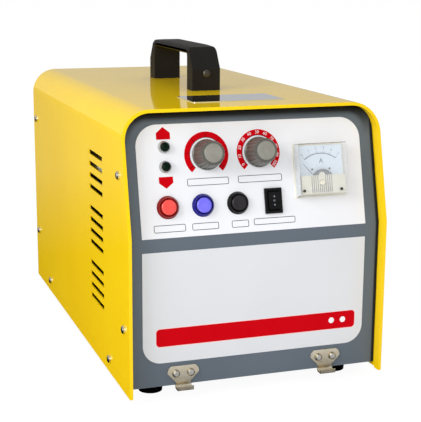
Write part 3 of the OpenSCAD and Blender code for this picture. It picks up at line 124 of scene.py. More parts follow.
def spun(profile, steps=64):
    # a profile of (radius, height) turned about the out axis; radius zero at an end closes there
    profile = np.asarray(profile, float)
    turn = np.linspace(0, 2 * pi, steps, endpoint=False)
    points = np.stack([profile[:, :1] * np.cos(turn), profile[:, :1] * np.sin(turn),
                       np.repeat(profile[:, 1:], steps, 1)], -1)
    return points.reshape(-1, 3), gridFaces(len(profile), steps, False, True)


def arc(radius, start, end, steps):
    # points on a circle, with the angle measured from straight up, to the right
    a = np.radians(np.linspace(start, end, steps))
    return np.c_[radius * np.sin(a), radius * np.cos(a)]


def roundedBox(x0, y0, x1, y1, r, steps=6):
    # a rectangle whose corners are quarter circles of radius r
    a = np.linspace(0, pi / 2, steps)
    corners = [(x1 - r, y1 - r, 0), (x0 + r, y1 - r, pi / 2), (x0 + r, y0 + r, pi),
               (x1 - r, y0 + r, 1.5 * pi)]
    return np.concatenate([np.c_[x + r * np.cos(a + t), y + r * np.sin(a + t)] for x, y, t in corners])


def glyphs(text, size, thick=0.04):
    # plain numbers: the built-in font's outlines, filled, as points and faces round their middle
    curve = bpy.data.curves.new("glyphs", "FONT")
    curve.body, curve.size, curve.extrude, curve.resolution_u = text, size, thick, 3
    curve.align_x, curve.align_y = "CENTER", "CENTER"
    holder = bpy.data.objects.new("glyphs", curve)
    mesh = bpy.data.meshes.new_from_object(holder)
    points = np.zeros(len(mesh.vertices) * 3)
    mesh.vertices.foreach_get("co", points)
    faces = [list(f.vertices) for f in mesh.polygons]
    bpy.data.objects.remove(holder)
    bpy.data.curves.remove(curve)
    bpy.data.meshes.remove(mesh)
    return points.reshape(-1, 3), faces


def turned(part, angle):
    # a shape turned about the out axis, clockwise from straight up
    x, y, h = part[0].T
    c, k = cos(angle), sin(angle)
    return np.c_[x * c + y * k, y * c - x * k, h], part[1]


def shifted(part, dx, dy, dz=0.0):
    # a shape moved across, up and out
    return part[0] + np.array([dx, dy, dz]), part[1]


def gathered(parts):
    # several shapes as one: their faces count on from the points before them
    points, faces, start = [], [], 0
    for p, f in parts:
        points.append(np.asarray(p, float))
        faces += [[start + v for v in face] for face in f]
        start += len(p)
    return np.concatenate(points), faces


# Distances in metres within which points count as one, and angles in degrees
mend = dict(seam=2e-6, sliver=1e-7, copied=1e-6, flat=0.4, bevelFrom=32, sharp=28)


def newObject(name, data):
    # an object of this name in the scene, which holds the data
    made = bpy.data.objects.new(name, data)
    bpy.context.scene.collection.objects.link(made)
    return made


def addPiece(name, parts, place, slot, paint=None, body="root", sharp=30):
    # joins the shapes in their place, closes poles and seams, and turns every face outward
    points, faces = gathered(parts)
    mesh = bpy.data.meshes.new(name)
    mesh.from_pydata(place(points).tolist(), [], faces)
    work = bmesh.new()
    work.from_mesh(mesh)
    bmesh.ops.remove_doubles(work, verts=work.verts, dist=mend["seam"])
    bmesh.ops.dissolve_degenerate(work, edges=work.edges, dist=mend["sliver"])
    bmesh.ops.recalc_face_normals(work, faces=work.faces)
    work.to_mesh(mesh)
    work.free()
    mesh.shade_smooth()
    mesh.set_sharp_from_angle(angle=radians(sharp))
    piece = newObject(name, mesh)
    piece.data.materials.append(paintOf(slot, paint))
    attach(piece, body)
    return piece


def easedCopy(node, name, width, slot, segments=2, paint=None, body="root", move=None, cuts=()):
    # the node's own form with its sharp edges eased by a narrow bevel; move shifts its points, and cuts
    # are places across its width where it gets lines of points to shift
    mesh = nodes[node].data.copy()
    mesh.name = name
    work = bmesh.new()
    work.from_mesh(mesh)
    bmesh.ops.remove_doubles(work, verts=work.verts, dist=mend["copied"])
    bmesh.ops.dissolve_limit(work, angle_limit=radians(mend["flat"]), use_dissolve_boundaries=False,
                             verts=work.verts, edges=work.edges)
    for x in cuts:
        bmesh.ops.bisect_plane(work, geom=work.verts[:] + work.edges[:] + work.faces[:],
                               plane_co=(x * mm, 0, 0), plane_no=(1, 0, 0))
    if move:
        places = move(np.array([v.co[:] for v in work.verts]))
        for v, place in zip(work.verts, places):
            v.co = place
    work.to_mesh(mesh)
    work.free()
    mesh.materials.clear()
    mesh.materials.append(paintOf(slot, paint))
    mesh.shade_smooth()
    mesh.set_sharp_from_angle(angle=radians(mend["sharp"]))
    piece = newObject(name, mesh)
    bevel = piece.modifiers.new("easedEdges", "BEVEL")
    bevel.width, bevel.segments, bevel.limit_method = width * mm, segments, "ANGLE"
    bevel.angle_limit = radians(mend["bevelFrom"])
    bevel.harden_normals, bevel.use_clamp_overlap = True, True
    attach(piece, body)
    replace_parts(piece, node)


# Materials
def linear(r, g, b):
    # a display colour, 0 to 255, carried over the standard sRGB curve
    shares = [c / 255 for c in (r, g, b)]
    return tuple(((s + 0.055) / 1.055) ** 2.4 if s > 0.04 else s / 12.92 for s in shares) + (1.0,)


def added(tree, kind, values, **settings):
    # a new shader node's outputs; an input takes a plain value, or another node's output as a link
    node = tree.nodes.new("ShaderNode" + kind)
    for key, value in settings.items():
        setattr(node, key, value)
    for key, value in values.items():
        if isinstance(value, bpy.types.NodeSocket):
            tree.links.new(value, node.inputs[key])
        else:
            node.inputs[key].default_value = value
    return node.outputs


def noiseField(tree, place, scale, detail, stretch=None):
    # cloudy grey values on the object's own coordinates, drawn out along an axis by stretch
    if stretch:
        place = added(tree, "Mapping", {"Vector": place, "Scale": stretch})["Vector"]
    return added(tree, "TexNoise", {"Vector": place, "Scale": scale, "Detail": detail})["Fac"]


def ranged(tree, value, low, high, start=0.3, end=0.7):
    # carries start..end of a field over to low..high
    return added(tree, "MapRange", {"Value": value, "From Min": start, "From Max": end, "To Min": low,
                                    "To Max": high})["Result"]


def blended(tree, share, first, second):
    # inputs 6 and 7 are the mix node's two colours, and output 2 is its colour
    return added(tree, "Mix", {"Factor": share, 6: first, 7: second}, data_type="RGBA")[2]


def raised(tree, shader, height, depth):
    # adds a bump of this depth in metres over the one before it
    values = {"Strength": 1.0, "Distance": depth, "Height": height}
    for link in shader.inputs["Normal"].links:
        values["Normal"] = link.from_socket
    tree.links.new(added(tree, "Bump", values)["Normal"], shader.inputs["Normal"])


def worked(tree, operation, first, second=0.0, clamp=False):
    # one step of a sum on fields or plain numbers
    return added(tree, "Math", {0: first, 1: second}, operation=operation, use_clamp=clamp)[0]


# The painted shade under the cover's lip and along its side walls, in metres: the arch that the panel
# fits, and how far the shade reaches
lip = dict(halfW=0.1098, top=0.2363, corner=0.0218, near=(0.0052, 0.0095), fade=1.1, high=(0.21, 0.234),
           seam=(0.0008, 0.002), seamShare=0.9)


def lipShade(tree, place):
    # painted shade, cast by the cover's lip: d is the distance to an arch of half width w, top t and
    # corner radius r, d = r - hypot(max(|x| - w + r, 0), max(z - t + r, 0)); it fades down the arch's legs
    w, t, r = lip["halfW"], lip["top"], lip["corner"]
    split = added(tree, "SeparateXYZ", {0: place})
    across = worked(tree, "ABSOLUTE", split[0])
    dx = worked(tree, "MAXIMUM", worked(tree, "SUBTRACT", across, w - r), 0.0)
    dz = worked(tree, "MAXIMUM", worked(tree, "SUBTRACT", split[2], t - r), 0.0)
    squares = worked(tree, "ADD", worked(tree, "MULTIPLY", dx, dx), worked(tree, "MULTIPLY", dz, dz))
    d = worked(tree, "SUBTRACT", r, worked(tree, "SQRT", squares))
    near = worked(tree, "POWER", ranged(tree, d, 1, 0, *lip["near"]), lip["fade"])
    under = worked(tree, "MULTIPLY", near, ranged(tree, split[2], 0, 1, *lip["high"]), True)
    # seam: a thin line of painted shade along both side walls, where the panel meets the cover
    seam = ranged(tree, worked(tree, "SUBTRACT", w, across), 1, 0, *lip["seam"])
    return worked(tree, "MAXIMUM", under, worked(tree, "MULTIPLY", seam, lip["seamShare"]))


# The noise's detail for colour, for roughness and for plain fields, and the part of a field that flecks
# and bands count
texture = dict(colourDetail=2.0, roughDetail=4.0, plainDetail=1.0, roughFiner=4, fleck=(0.62, 0.7),
               band=(0.1, 0.5), waver=0.15, softReach=(0.001, 0.0008, 0.0006))


def makeFinish(name, look):
    # colour between two tones in soft patches, roughness in smaller ones, and a fine grain
    material = bpy.data.materials.new(name)
    material.use_nodes = True
    tree = material.node_tree
    shader = tree.nodes["Principled BSDF"]
    place = added(tree, "TexCoord", {})["Object"]
    stretch = look.get("stretch")
    patches = ranged(tree, noiseField(tree, place, look["patch"], texture["colourDetail"], stretch), 0, 1)
    colour = blended(tree, patches, linear(*look["tone"]), linear(*look["second"]))
    spots = noiseField(tree, place, look["patch"] * texture["roughFiner"], texture["roughDetail"], stretch)
    tree.links.new(ranged(tree, spots, *look["rough"]), shader.inputs["Roughness"])
    if "fleck" in look:
        scale, tone = look["fleck"]
        dots = noiseField(tree, place, scale, texture["plainDetail"])
        colour = blended(tree, ranged(tree, dots, 0, 1, *texture["fleck"]), colour, linear(*tone))
    if "bands" in look:
        axis, scale, tone, depth = look["bands"]
        wave = added(tree, "TexWave", {"Vector": place, "Scale": scale, "Distortion": texture["waver"]},
                     bands_direction=axis)["Fac"]
        colour = blended(tree, ranged(tree, wave, 0, 1, *texture["band"]), linear(*tone), colour)
        raised(tree, shader, wave, depth)
    # painted shade: the colour darkens to the shade tone under the cover's lip and along its walls
    if "shade" in look:
        colour = blended(tree, lipShade(tree, place), colour, linear(*look["shade"]))
    tree.links.new(colour, shader.inputs["Base Color"])
    scale, depth = look["grain"]
    raised(tree, shader, noiseField(tree, place, scale, texture["colourDetail"], stretch), depth)
    if "ripple" in look:
        scale, depth = look["ripple"]
        raised(tree, shader, noiseField(tree, place, scale, texture["plainDetail"]), depth)
    for key, socket in (("metal", "Metallic"), ("coat", "Coat Weight"), ("coatRough", "Coat Roughness"),
                        ("specular", "Specular IOR Level"), ("ior", "IOR"), ("alpha", "Alpha"),
                        ("soft", "Subsurface Weight")):
        if key in look:
            shader.inputs[socket].default_value = look[key]
    if "soft" in look:
        shader.inputs["Subsurface Radius"].default_value = texture["softReach"]
    return material


# Values that several finishes share: label films, inks, the painted light and shade on the meter's
# clear edges, moulded buttons and their caps
film = dict(patch=11, rough=(0.36, 0.44), grain=(2200, 1.5e-5), specular=0.14)
ink = dict(patch=60, rough=(0.36, 0.44), grain=(2200, 5e-6), specular=0.14)
clearEdgeLightShade = dict(patch=60, rough=(0.2, 0.3), grain=(2200, 5e-6), specular=0.3)
moulded = dict(patch=120, rough=(0.2, 0.28), grain=(2400, 1e-5))
capped = dict(moulded, coat=0.3, coatRough=0.1, soft=0.15)

# Each finish: two tones, the scale of its patches, its least and most roughness, and its grain's scale
# and depth; flecks, bands, a ripple, a stretch along an axis and shader values where it has them
finishes = {
    "yellowPaint": dict(tone=(248, 206, 10), second=(251, 212, 16), patch=7, rough=(0.05, 0.09),
        grain=(900, 4e-6), ripple=(120, 1e-5), specular=0.28),
    "greyPaint": dict(tone=(94, 104, 111), second=(99, 109, 116), patch=9, rough=(0.34, 0.44),
        grain=(1400, 3e-5), ripple=(240, 2e-5), specular=0.3),
    # panelPaint: the grey paint, with painted shade under the cover's lip and along its walls
    "panelPaint": dict(tone=(96, 106, 116), second=(101, 111, 121), patch=9, rough=(0.4, 0.5),
        grain=(1400, 3e-5), ripple=(240, 2e-5), specular=0.16, shade=(8, 6, 4)),
    "whiteLabel": dict(film, tone=(236, 237, 241), second=(240, 241, 245)),
    "paleLabel": dict(film, tone=(219, 221, 225), second=(223, 225, 229)),
    "brightPlate": dict(tone=(232, 238, 242), second=(238, 243, 246), patch=12, rough=(0.03, 0.07),
        grain=(700, 2e-6), metal=1, stretch=(1, 12, 1)),
    "handlePlastic": dict(tone=(22, 19, 17), second=(28, 25, 22), patch=40, rough=(0.5, 0.6),
        grain=(1900, 6e-5), specular=0.2),
    "platedSteel": dict(tone=(196, 196, 192), second=(212, 212, 208), patch=60, rough=(0.3, 0.42),
        grain=(1500, 2e-5), metal=1, stretch=(1, 9, 1)),
    "screwSteel": dict(tone=(205, 203, 196), second=(222, 220, 214), patch=220, rough=(0.18, 0.3),
        grain=(2600, 1e-5), metal=1),
    "footRubber": dict(tone=(5, 5, 6), second=(8, 8, 9), patch=60, rough=(0.7, 0.85),
        grain=(1500, 8e-5), fleck=(900, (14, 13, 12)), specular=0),
    "keeperNickel": dict(tone=(226, 214, 188), second=(238, 230, 210), patch=90, rough=(0.22, 0.36),
        grain=(900, 2e-5), metal=1, ripple=(300, 4e-5)),
    "knobPlastic": dict(tone=(100, 100, 94), second=(112, 111, 104), patch=110, rough=(0.3, 0.4),
        grain=(2500, 3e-5), specular=0.5, metal=0.55),
    "knobDisc": dict(tone=(160, 158, 148), second=(170, 168, 158), patch=200, rough=(0.34, 0.44),
        grain=(2600, 2e-6), metal=0.7),
    "shaftSteel": dict(tone=(196, 196, 193), second=(210, 210, 207), patch=150, rough=(0.22, 0.34),
        grain=(2600, 1e-5), metal=1),
    "potMetal": dict(tone=(172, 173, 175), second=(188, 188, 190), patch=90, rough=(0.35, 0.5),
        grain=(1800, 2e-5), metal=1),
    "redCap": dict(capped, tone=(240, 76, 68), second=(246, 86, 78)),
    "redCollar": dict(moulded, tone=(124, 2, 3), second=(136, 5, 5), specular=0.22),
    "blueCap": dict(capped, tone=(112, 106, 240), second=(122, 116, 246)),
    "blueCollar": dict(moulded, tone=(10, 6, 112), second=(14, 9, 122), specular=0.22),
    "blackCap": dict(tone=(38, 36, 38), second=(46, 44, 46), patch=120, rough=(0.28, 0.38),
        grain=(2400, 2e-5), specular=0.25),
    "blackCollar": dict(tone=(8, 7, 8), second=(12, 11, 12), patch=120, rough=(0.18, 0.28),
        grain=(2400, 1e-5), specular=0.16),
    "switchKey": dict(tone=(8, 7, 9), second=(12, 11, 13), patch=120, rough=(0.34, 0.44),
        grain=(2600, 3e-5), specular=0.2),
    "switchFrame": dict(tone=(8, 7, 9), second=(12, 11, 13), patch=120, rough=(0.4, 0.5),
        grain=(2400, 4e-5), specular=0.2),
    "lampLens": dict(tone=(1, 20, 8), second=(2, 28, 12), patch=240, rough=(0.12, 0.2),
        grain=(1800, 1e-5), specular=0.12),
    "lampBezel": dict(tone=(188, 190, 188), second=(204, 206, 204), patch=200, rough=(0.14, 0.24),
        grain=(2600, 1e-5), metal=1),
    "meterIvory": dict(tone=(230, 226, 208), second=(236, 232, 216), patch=60, rough=(0.3, 0.4),
        grain=(2000, 1e-5), soft=0.1),
    "ribShade": dict(tone=(112, 110, 100), second=(132, 130, 118), patch=90, rough=(0.35, 0.45),
        grain=(2000, 1e-5)),
    "meterClear": dict(tone=(236, 240, 244), second=(240, 244, 248), patch=30, rough=(0.05, 0.09),
        grain=(700, 2e-6), alpha=0.16, ior=1.49),
    "dialWhite": dict(tone=(224, 236, 247), second=(228, 240, 250), patch=40, rough=(0.5, 0.6),
        grain=(2600, 5e-6)),
    "movementMetal": dict(tone=(104, 108, 110), second=(122, 126, 128), patch=150, rough=(0.4, 0.5),
        grain=(2200, 1e-5), metal=0.6),
    "needleBlack": dict(tone=(92, 96, 104), second=(102, 106, 114), patch=150, rough=(0.4, 0.5),
        grain=(2500, 5e-6)),
    "blackScrew": dict(tone=(66, 62, 56), second=(84, 80, 72), patch=300, rough=(0.3, 0.45),
        grain=(2500, 1e-5), metal=0.7),
    "fanPlastic": dict(tone=(24, 24, 25), second=(32, 32, 33), patch=50, rough=(0.4, 0.52),
        grain=(1800, 5e-5)),
    "guardWire": dict(tone=(208, 208, 206), second=(222, 222, 220), patch=120, rough=(0.14, 0.26),
        grain=(1800, 1e-5), metal=1),
    "inletPlastic": dict(tone=(21, 21, 22), second=(28, 28, 29), patch=70, rough=(0.36, 0.48),
        grain=(2000, 4e-5)),
    "socketNickel": dict(tone=(206, 203, 194), second=(220, 218, 210), patch=120, rough=(0.18, 0.3),
        grain=(1800, 1e-5), metal=1),
    "coreIron": dict(tone=(74, 72, 70), second=(92, 88, 84), patch=60, rough=(0.4, 0.56),
        grain=(1500, 3e-5), metal=0.8, bands=("Y", 320, (44, 42, 41), 0.0002)),
    "coilCopper": dict(tone=(178, 104, 46), second=(198, 124, 62), patch=40, rough=(0.24, 0.36),
        grain=(1500, 1e-5), metal=0.9, bands=("Z", 260, (96, 48, 18), 0.0003)),
    "clampZinc": dict(tone=(196, 186, 140), second=(212, 202, 168), patch=50, rough=(0.26, 0.4),
        grain=(1600, 2e-5), metal=1),
    "boardGreen": dict(tone=(18, 84, 44), second=(26, 104, 56), patch=30, rough=(0.24, 0.34),
        grain=(1600, 1e-5), fleck=(260, (150, 150, 140))),
    "canSleeve": dict(tone=(38, 62, 140), second=(46, 72, 152), patch=40, rough=(0.2, 0.3),
        grain=(1500, 1e-5), ripple=(200, 5e-5)),
    "sinkBlack": dict(tone=(40, 41, 44), second=(50, 51, 54), patch=60, rough=(0.36, 0.48),
        grain=(1800, 2e-5), metal=0.7, stretch=(1, 8, 1)),
    "deviceBlack": dict(tone=(26, 26, 27), second=(34, 34, 35), patch=150, rough=(0.45, 0.6),
        grain=(2400, 3e-5)),
    "ceramic": dict(tone=(223, 226, 207), second=(231, 234, 217), patch=60, rough=(0.4, 0.55),
        grain=(1200, 4e-5)),
    "loomSleeve": dict(tone=(30, 30, 31), second=(40, 40, 41), patch=80, rough=(0.5, 0.65),
        grain=(1500, 5e-5), bands=("DIAGONAL", 220, (16, 16, 17), 0.0002)),
    "printRed": dict(ink, tone=(200, 0, 12), second=(205, 1, 18), patch=40, rough=(0.4, 0.5), specular=0.04),
    "printWhite": dict(ink, tone=(244, 244, 246), second=(248, 248, 250)),
    "printDark": dict(ink, tone=(46, 48, 60), second=(56, 58, 70)),
    "printPale": dict(ink, tone=(150, 156, 164), second=(158, 164, 172)),
    "wallTint": dict(clearEdgeLightShade, tone=(208, 212, 214), second=(216, 220, 222)),
    "tickRed": dict(ink, tone=(84, 6, 12), second=(92, 8, 14), rough=(0.4, 0.5), specular=0.04),
    "keeperScrew": dict(tone=(150, 140, 116), second=(172, 162, 138), patch=300, rough=(0.2, 0.32),
        grain=(2600, 1e-5), metal=1),
    "edgeGrey": dict(clearEdgeLightShade, tone=(96, 100, 106), second=(106, 110, 116)),
    "printRose": dict(ink, tone=(246, 206, 208), second=(248, 212, 214)),
}
paints = {name: makeFinish(name, look) for name, look in finishes.items()}


def paintOf(slot, paint=None):
    # the finish named by paint, or else the slot's own: yellowPaint for yellow_paint
    first, *others = slot.split("_")
    return paints[paint or first + "".join(word.capitalize() for word in others)]


for row in frame["record"]["subparts"]:
    mesh = nodes[row["node"]].data
    mesh.materials.clear()
    mesh.materials.append(paintOf(row["material_slot"]))
print("materials:", len(paints))

# The forms below move the points of a copy. They are in millimetres, and x, s and h are the solid's
# own places on the leaning face: across it, up along it and out of it
near = 0.05  # a point this close to a line counts as on it

# The handle's grip: its underside lies higher than the solid's and curls up by roll at both edges
grip = dict(middleY=12.0, halfGap=52.7, gapTop=268.0, gapR=6.0, raisedTo=271.0, halfW=13.25, roll=4.0,
            cutShares=(0, 0.38, 0.7, 0.92), hair=0.01)
rollCuts = [side * (grip["halfW"] - grip["roll"] * (1 - share))
            for side in (-1, 1) for share in grip["cutShares"]]


def gripForm(q):
    # z' = raised height of the gap's roof, plus roll - sqrt(roll^2 - d^2) for the distance d into the edge
    x, y, z = q.T / mm
    inGap = np.abs(y - grip["middleY"]) < grip["halfGap"] + grip["hair"]
    roof = inGap & (z > grip["gapTop"] - grip["gapR"] + grip["hair"]) & (z < grip["gapTop"] + grip["hair"])
    climb = (z - grip["gapTop"] + grip["gapR"]) / grip["gapR"]
    lifted = grip["raisedTo"] - grip["gapR"] / 2 * (1 - climb)
    d = np.clip(np.abs(x) - grip["halfW"] + grip["roll"], 0, grip["roll"])
    lifted = lifted + climb * (grip["roll"] - np.sqrt(grip["roll"] ** 2 - d ** 2))
    return np.stack([x, y, np.where(roof, lifted, z)], -1) * mm


# The keepers' plates narrow in a V from their widest line down to the neck
keeper = dict(x=64.0, z=22.2, halfW=13.75, neck=6.3, fall=8.0)


def keeperForm(q):
    # |x| is held under halfW - (halfW - neck) * depth / fall
    x, y, z = q.T / mm
    middle = np.sign(x) * keeper["x"]
    depth = keeper["z"] - z
    fallen = np.clip(depth, 0, keeper["fall"]) / keeper["fall"]
    limit = keeper["halfW"] - (keeper["halfW"] - keeper["neck"]) * fallen
    held = middle + np.clip(x - middle, -limit, limit)
    return np.stack([np.where((depth > 0) & (depth < keeper["fall"]), held, x), y, z], -1) * mm


# The photographed meter is smaller than the solid one and stands inside its outline
meter = dict(
    x=56.523, s=46.682, halfW=25.75, halfL=24.0, platformW=21.5, platformL=20.0, platformUp=0.3,
    barrelUp=0.45, barrelMove=(1.67, 2.3), coverW=21.5, coverL=20.5, maskW=20.5, maskLow=-19.9,
    maskHigh=-6.6, newX=58.194, newS=47.963, newHalf=22.3, innerHalf=20.0, foot=2.9, top=12.4, drop=1.0,
    faceUp=9.0, maskTop=43.1, dialTop=68.3)


def dropped(h):
    # what stands out of the meter's face comes down with it
    return np.where(h > meter["faceUp"], h - meter["drop"], h)


def caseForm(q):
    # outline to the new square, the platform likewise, and the barrel moved under it
    x, s, h = fromSlope(q).T
    dx, ds = x - meter["x"], s - meter["s"]
    across, along = np.abs(dx), np.abs(ds)
    outline = (np.abs(across - meter["halfW"]) < near) | (np.abs(along - meter["halfL"]) < near)
    platform = (np.abs(across - meter["platformW"]) < near) | (np.abs(along - meter["platformL"]) < near)
    framed = outline | (platform & (h > meter["platformUp"]))
    half = np.where(outline, meter["newHalf"], meter["innerHalf"])
    barrel = ~framed & (h < meter["barrelUp"])
    acrossBy, upBy = meter["barrelMove"]
    x = np.where(framed, meter["newX"] + np.sign(dx) * half, np.where(barrel, x + acrossBy, x))
    s = np.where(framed, meter["newS"] + np.sign(ds) * half, np.where(barrel, s + upBy, s))
    return slopeAt(x, s, h)


def coverForm(q):
    # walls shifted inward, less at the top than at the foot, and the face lowered
    x, s, h = fromSlope(q).T
    dx, ds = x - meter["x"], s - meter["s"]
    up = np.clip((h - meter["foot"]) / (meter["top"] - meter["foot"]), 0, 1)
    wall = (np.abs(dx) > meter["coverW"]) | (np.abs(ds) > meter["coverL"])
    toX = np.abs(dx) - meter["halfW"] + meter["newHalf"] + up
    toS = np.abs(ds) - meter["halfL"] + meter["newHalf"] + up
    x = np.where(wall, meter["newX"] + np.sign(dx) * toX, x)
    s = np.where(wall, meter["newS"] + np.sign(ds) * toS, s)
    return slopeAt(x, s, h - meter["drop"] * up)


def maskForm(q):
    x, s, h = fromSlope(q).T
    dx, ds = x - meter["x"], s - meter["s"]
    x = np.where(np.abs(dx) > meter["maskW"], meter["newX"] + np.sign(dx) * meter["innerHalf"], x)
    upper = np.where(ds > meter["maskHigh"], meter["maskTop"], s)
    s = np.where(ds < meter["maskLow"], meter["newS"] - meter["innerHalf"], upper)
    return slopeAt(x, s, dropped(h))


def dialForm(q):
    x, s, h = fromSlope(q).T
    x = meter["newX"] + np.sign(x - meter["x"]) * meter["innerHalf"]
    return slopeAt(x, np.where(s < meter["s"], meter["maskTop"], meter["dialTop"]), h)


def adjusterForm(q):
    x, s, h = fromSlope(q).T
    return slopeAt(x, s, dropped(h))


needle = dict(pivotS=36.882, rest=radians(42), hub=2.1, share=0.36)


def needleForm(q):
    # the pointer, drawn in to a fine line; at rest it leans to the left of its hub
    x, s, h = fromSlope(q).T
    dx, ds = x - meter["x"], s - needle["pivotS"]
    c, k = cos(needle["rest"]), sin(needle["rest"])
    along, across = ds * c - dx * k, dx * c + ds * k
    across = np.where(along > needle["hub"], across * needle["share"], across)
    x = meter["x"] - along * k + across * c
    return slopeAt(x, needle["pivotS"] + along * c + across * k, h)


coverScrew = dict(dx=16.8, s=30.682, headUp=12.2, share=0.62)


def coverScrewForm(q):
    # the cover's two screws, drawn in to a narrow head in its clear boss
    x, s, h = fromSlope(q).T
    middle = meter["x"] + np.sign(x - meter["x"]) * coverScrew["dx"]
    share = np.where(h > coverScrew["headUp"], coverScrew["share"], 1.0)
    s = coverScrew["s"] + (s - coverScrew["s"]) * share
    return slopeAt(middle + (x - middle) * share, s, dropped(h))


labelHole = dict(s=42.682, radius=19.15, within=0.3, newX=58.0, newS=45.4, share=0.85)


def labelForm(q):
    # the label's hole for the meter's barrel closes in under the smaller case
    x, s, h = fromSlope(q).T
    dx, ds = x - meter["x"], s - labelHole["s"]
    ring = np.abs(np.hypot(dx, ds) - labelHole["radius"]) < labelHole["within"]
    x = np.where(ring, labelHole["newX"] + dx * labelHole["share"], x)
    s = np.where(ring, labelHole["newS"] + ds * labelHole["share"], s)
    return slopeAt(x, s, h)


# The push buttons: the cap's face stands lower, and the collar is a hollow cone with a wider foot
buttons = dict(x=(-75.003, -45.316, -15.335), s=24.714, capUp=5.0, capDrop=2.6, rimUp=3.7, rimR=7.0,
               rimDrop=1.3, footFrom=9.0, footR=9.25, newFootR=9.5)


def capForm(q):
    x, s, h = fromSlope(q).T
    return slopeAt(x, s, np.where(h > buttons["capUp"], h - buttons["capDrop"], h))


def collarForm(middle):
    def form(q):
        x, s, h = fromSlope(q).T
        dx, ds = x - middle, s - buttons["s"]
        r = np.hypot(dx, ds)
        rim = (h > buttons["rimUp"]) & (r < buttons["rimR"])
        foot = (np.abs(h - unit["film"]) < near) & (r > buttons["footFrom"])
        wide = np.where(foot, buttons["newFootR"] / buttons["footR"], 1.0)
        h = np.where(rim, h - buttons["rimDrop"], h)
        return slopeAt(middle + dx * wide, buttons["s"] + ds * wide, h)
    return form


# Copies with eased edges, so that the folds and the mouldings catch the light
eased = [
    dict(node="cover", name="coverShell", width=0.5, segments=3, slot="yellow_paint"),
    dict(node="front_panel", name="frontPanelSheet", width=0.4, slot="grey_paint", paint="panelPaint"),
    dict(node="control_overlay", name="controlLabelFilm", width=0.05, segments=1, slot="white_label",
         move=labelForm),
    dict(node="handle_grip", name="handleMoulding", width=0.8, segments=3, slot="handle_plastic",
         move=gripForm, cuts=rollCuts),
    dict(node="meter_case", name="meterBase", width=0.5, segments=3, slot="meter_ivory", move=caseForm),
    dict(node="meter_cover", name="meterClearCover", width=0.4, segments=3, slot="meter_clear",
         move=coverForm),
    dict(node="meter_mask", name="meterMaskPlate", width=0.15, slot="meter_ivory", move=maskForm),
    dict(node="meter_dial", name="meterDialPlate", width=0.05, segments=1, slot="dial_white",
         move=dialForm),
    dict(node="meter_screws", name="meterCoverScrews", width=0.1, slot="black_screw", move=coverScrewForm),
    dict(node="meter_needle", name="needleHand", width=0.05, segments=1, slot="needle_black",
         body="meter_needle", move=needleForm),
    dict(node="zero_screw", name="zeroAdjuster", width=0.15, slot="meter_ivory", body="zero_screw",
         move=adjusterForm),
    dict(node="latch_keepers", name="latchKeeperPlates", width=0.25, slot="keeper_nickel", move=keeperForm),
    dict(node="manual_switch_body", name="manualSwitchFrame", width=0.3, slot="switch_frame"),
    dict(node="manual_rocker", name="manualRockerKey", width=0.3, slot="switch_key", body="manual_rocker"),
]
for colour, x in zip(("red", "blue", "black"), buttons["x"]):
    eased.append(dict(node=colour + "_button", name=colour + "CapMoulding", width=0.35, segments=3,
                      slot=colour + "_cap", body=colour + "_button", move=capForm))
    eased.append(dict(node=colour + "_button_body", name=colour + "CollarMoulding", width=0.2,
                      slot=colour + "_collar", move=collarForm(x)))
for row in eased:
    easedCopy(**row)
nodes["handle_screws"].data.materials[0] = paints["blackScrew"]
print("eased pieces:", len(eased))

# The lamps: a turned cone and a wide, nearly flat lens, as profiles of (radius, height)
lamp = dict(x=-75.003, s=(73.1, 57.3), bore=2.6, barrel=3.9, depth=-11.0, sunk=0.35, foot=0.38, flange=0.7,
            base=5.1, rim=4.3, top=3.8, rimOut=0.12, rimIn=0.08, rimDown=0.2, seat=3.65, seatDown=0.15,
            shelf=2.2, stem=2.5, stemLow=-7.6, stemTop=2.3, lens=3.6, lensUp=0.25, dome=0.9, steps=12)
bezelLine = [
    (lamp["bore"], lamp["depth"]), (lamp["barrel"], lamp["depth"]), (lamp["barrel"], lamp["sunk"]),
    (lamp["base"], lamp["foot"]), (lamp["base"], lamp["flange"]),
    (lamp["rim"] + lamp["rimOut"], lamp["top"] - lamp["rimDown"]),
    (lamp["rim"] - lamp["rimIn"], lamp["top"]), (lamp["seat"] + lamp["rimOut"], lamp["top"]),
    (lamp["seat"], lamp["top"] - lamp["seatDown"]), (lamp["seat"], lamp["shelf"]),
    (lamp["bore"], lamp["shelf"]), (lamp["bore"], lamp["depth"])]
lensLine = [(0, lamp["stemLow"]), (lamp["stem"], lamp["stemLow"]), (lamp["stem"], lamp["stemTop"]),
            (lamp["lens"], lamp["stemTop"])]
lensLine += [(lamp["lens"] * cos(a), lamp["top"] + lamp["lensUp"] + lamp["dome"] * sin(a))
             for a in np.linspace(0, pi / 2, lamp["steps"])]
for name, line, slot, node in (("lampBezelCones", bezelLine, "lamp_bezel", "lamp_bezels"),
                               ("lampLensDomes", lensLine, "lamp_lens", "lamp_lenses")):
    pair = [shifted(spun(line), lamp["x"], s) for s in lamp["s"]]
    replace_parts(addPiece(name, pair, onSlope, slot, sharp=35), node)
print("lamps")

# Printing on the control label, and a painted shadow at the knob rings' inner edges: their heights out
# of the panel are low and high
label = dict(knobX=(-39.517, 5.603), knobS=65.354, rockerX=15.531, low=0.38, high=0.44)
ring = dict(outer=18.9, inner=14.0, open=44.0, edgeOut=0.35, edgeIn=0.1, edgeHigh=0.46, steps=97)


def ringBand(x, outer, inner, high):
    # an annulus round a knob, open at the bottom on each side of straight down
    reach = 180 - ring["open"]
    part = band(arc(outer, -reach, reach, ring["steps"]), arc(inner, -reach, reach, ring["steps"]),
                label["low"], high, closed=False)
    return shifted(part, x, label["knobS"])


rings = [ringBand(x, ring["outer"], ring["inner"], label["high"]) for x in label["knobX"]]
addPiece("knobRings", rings, onSlope, "white_label", "printRed")
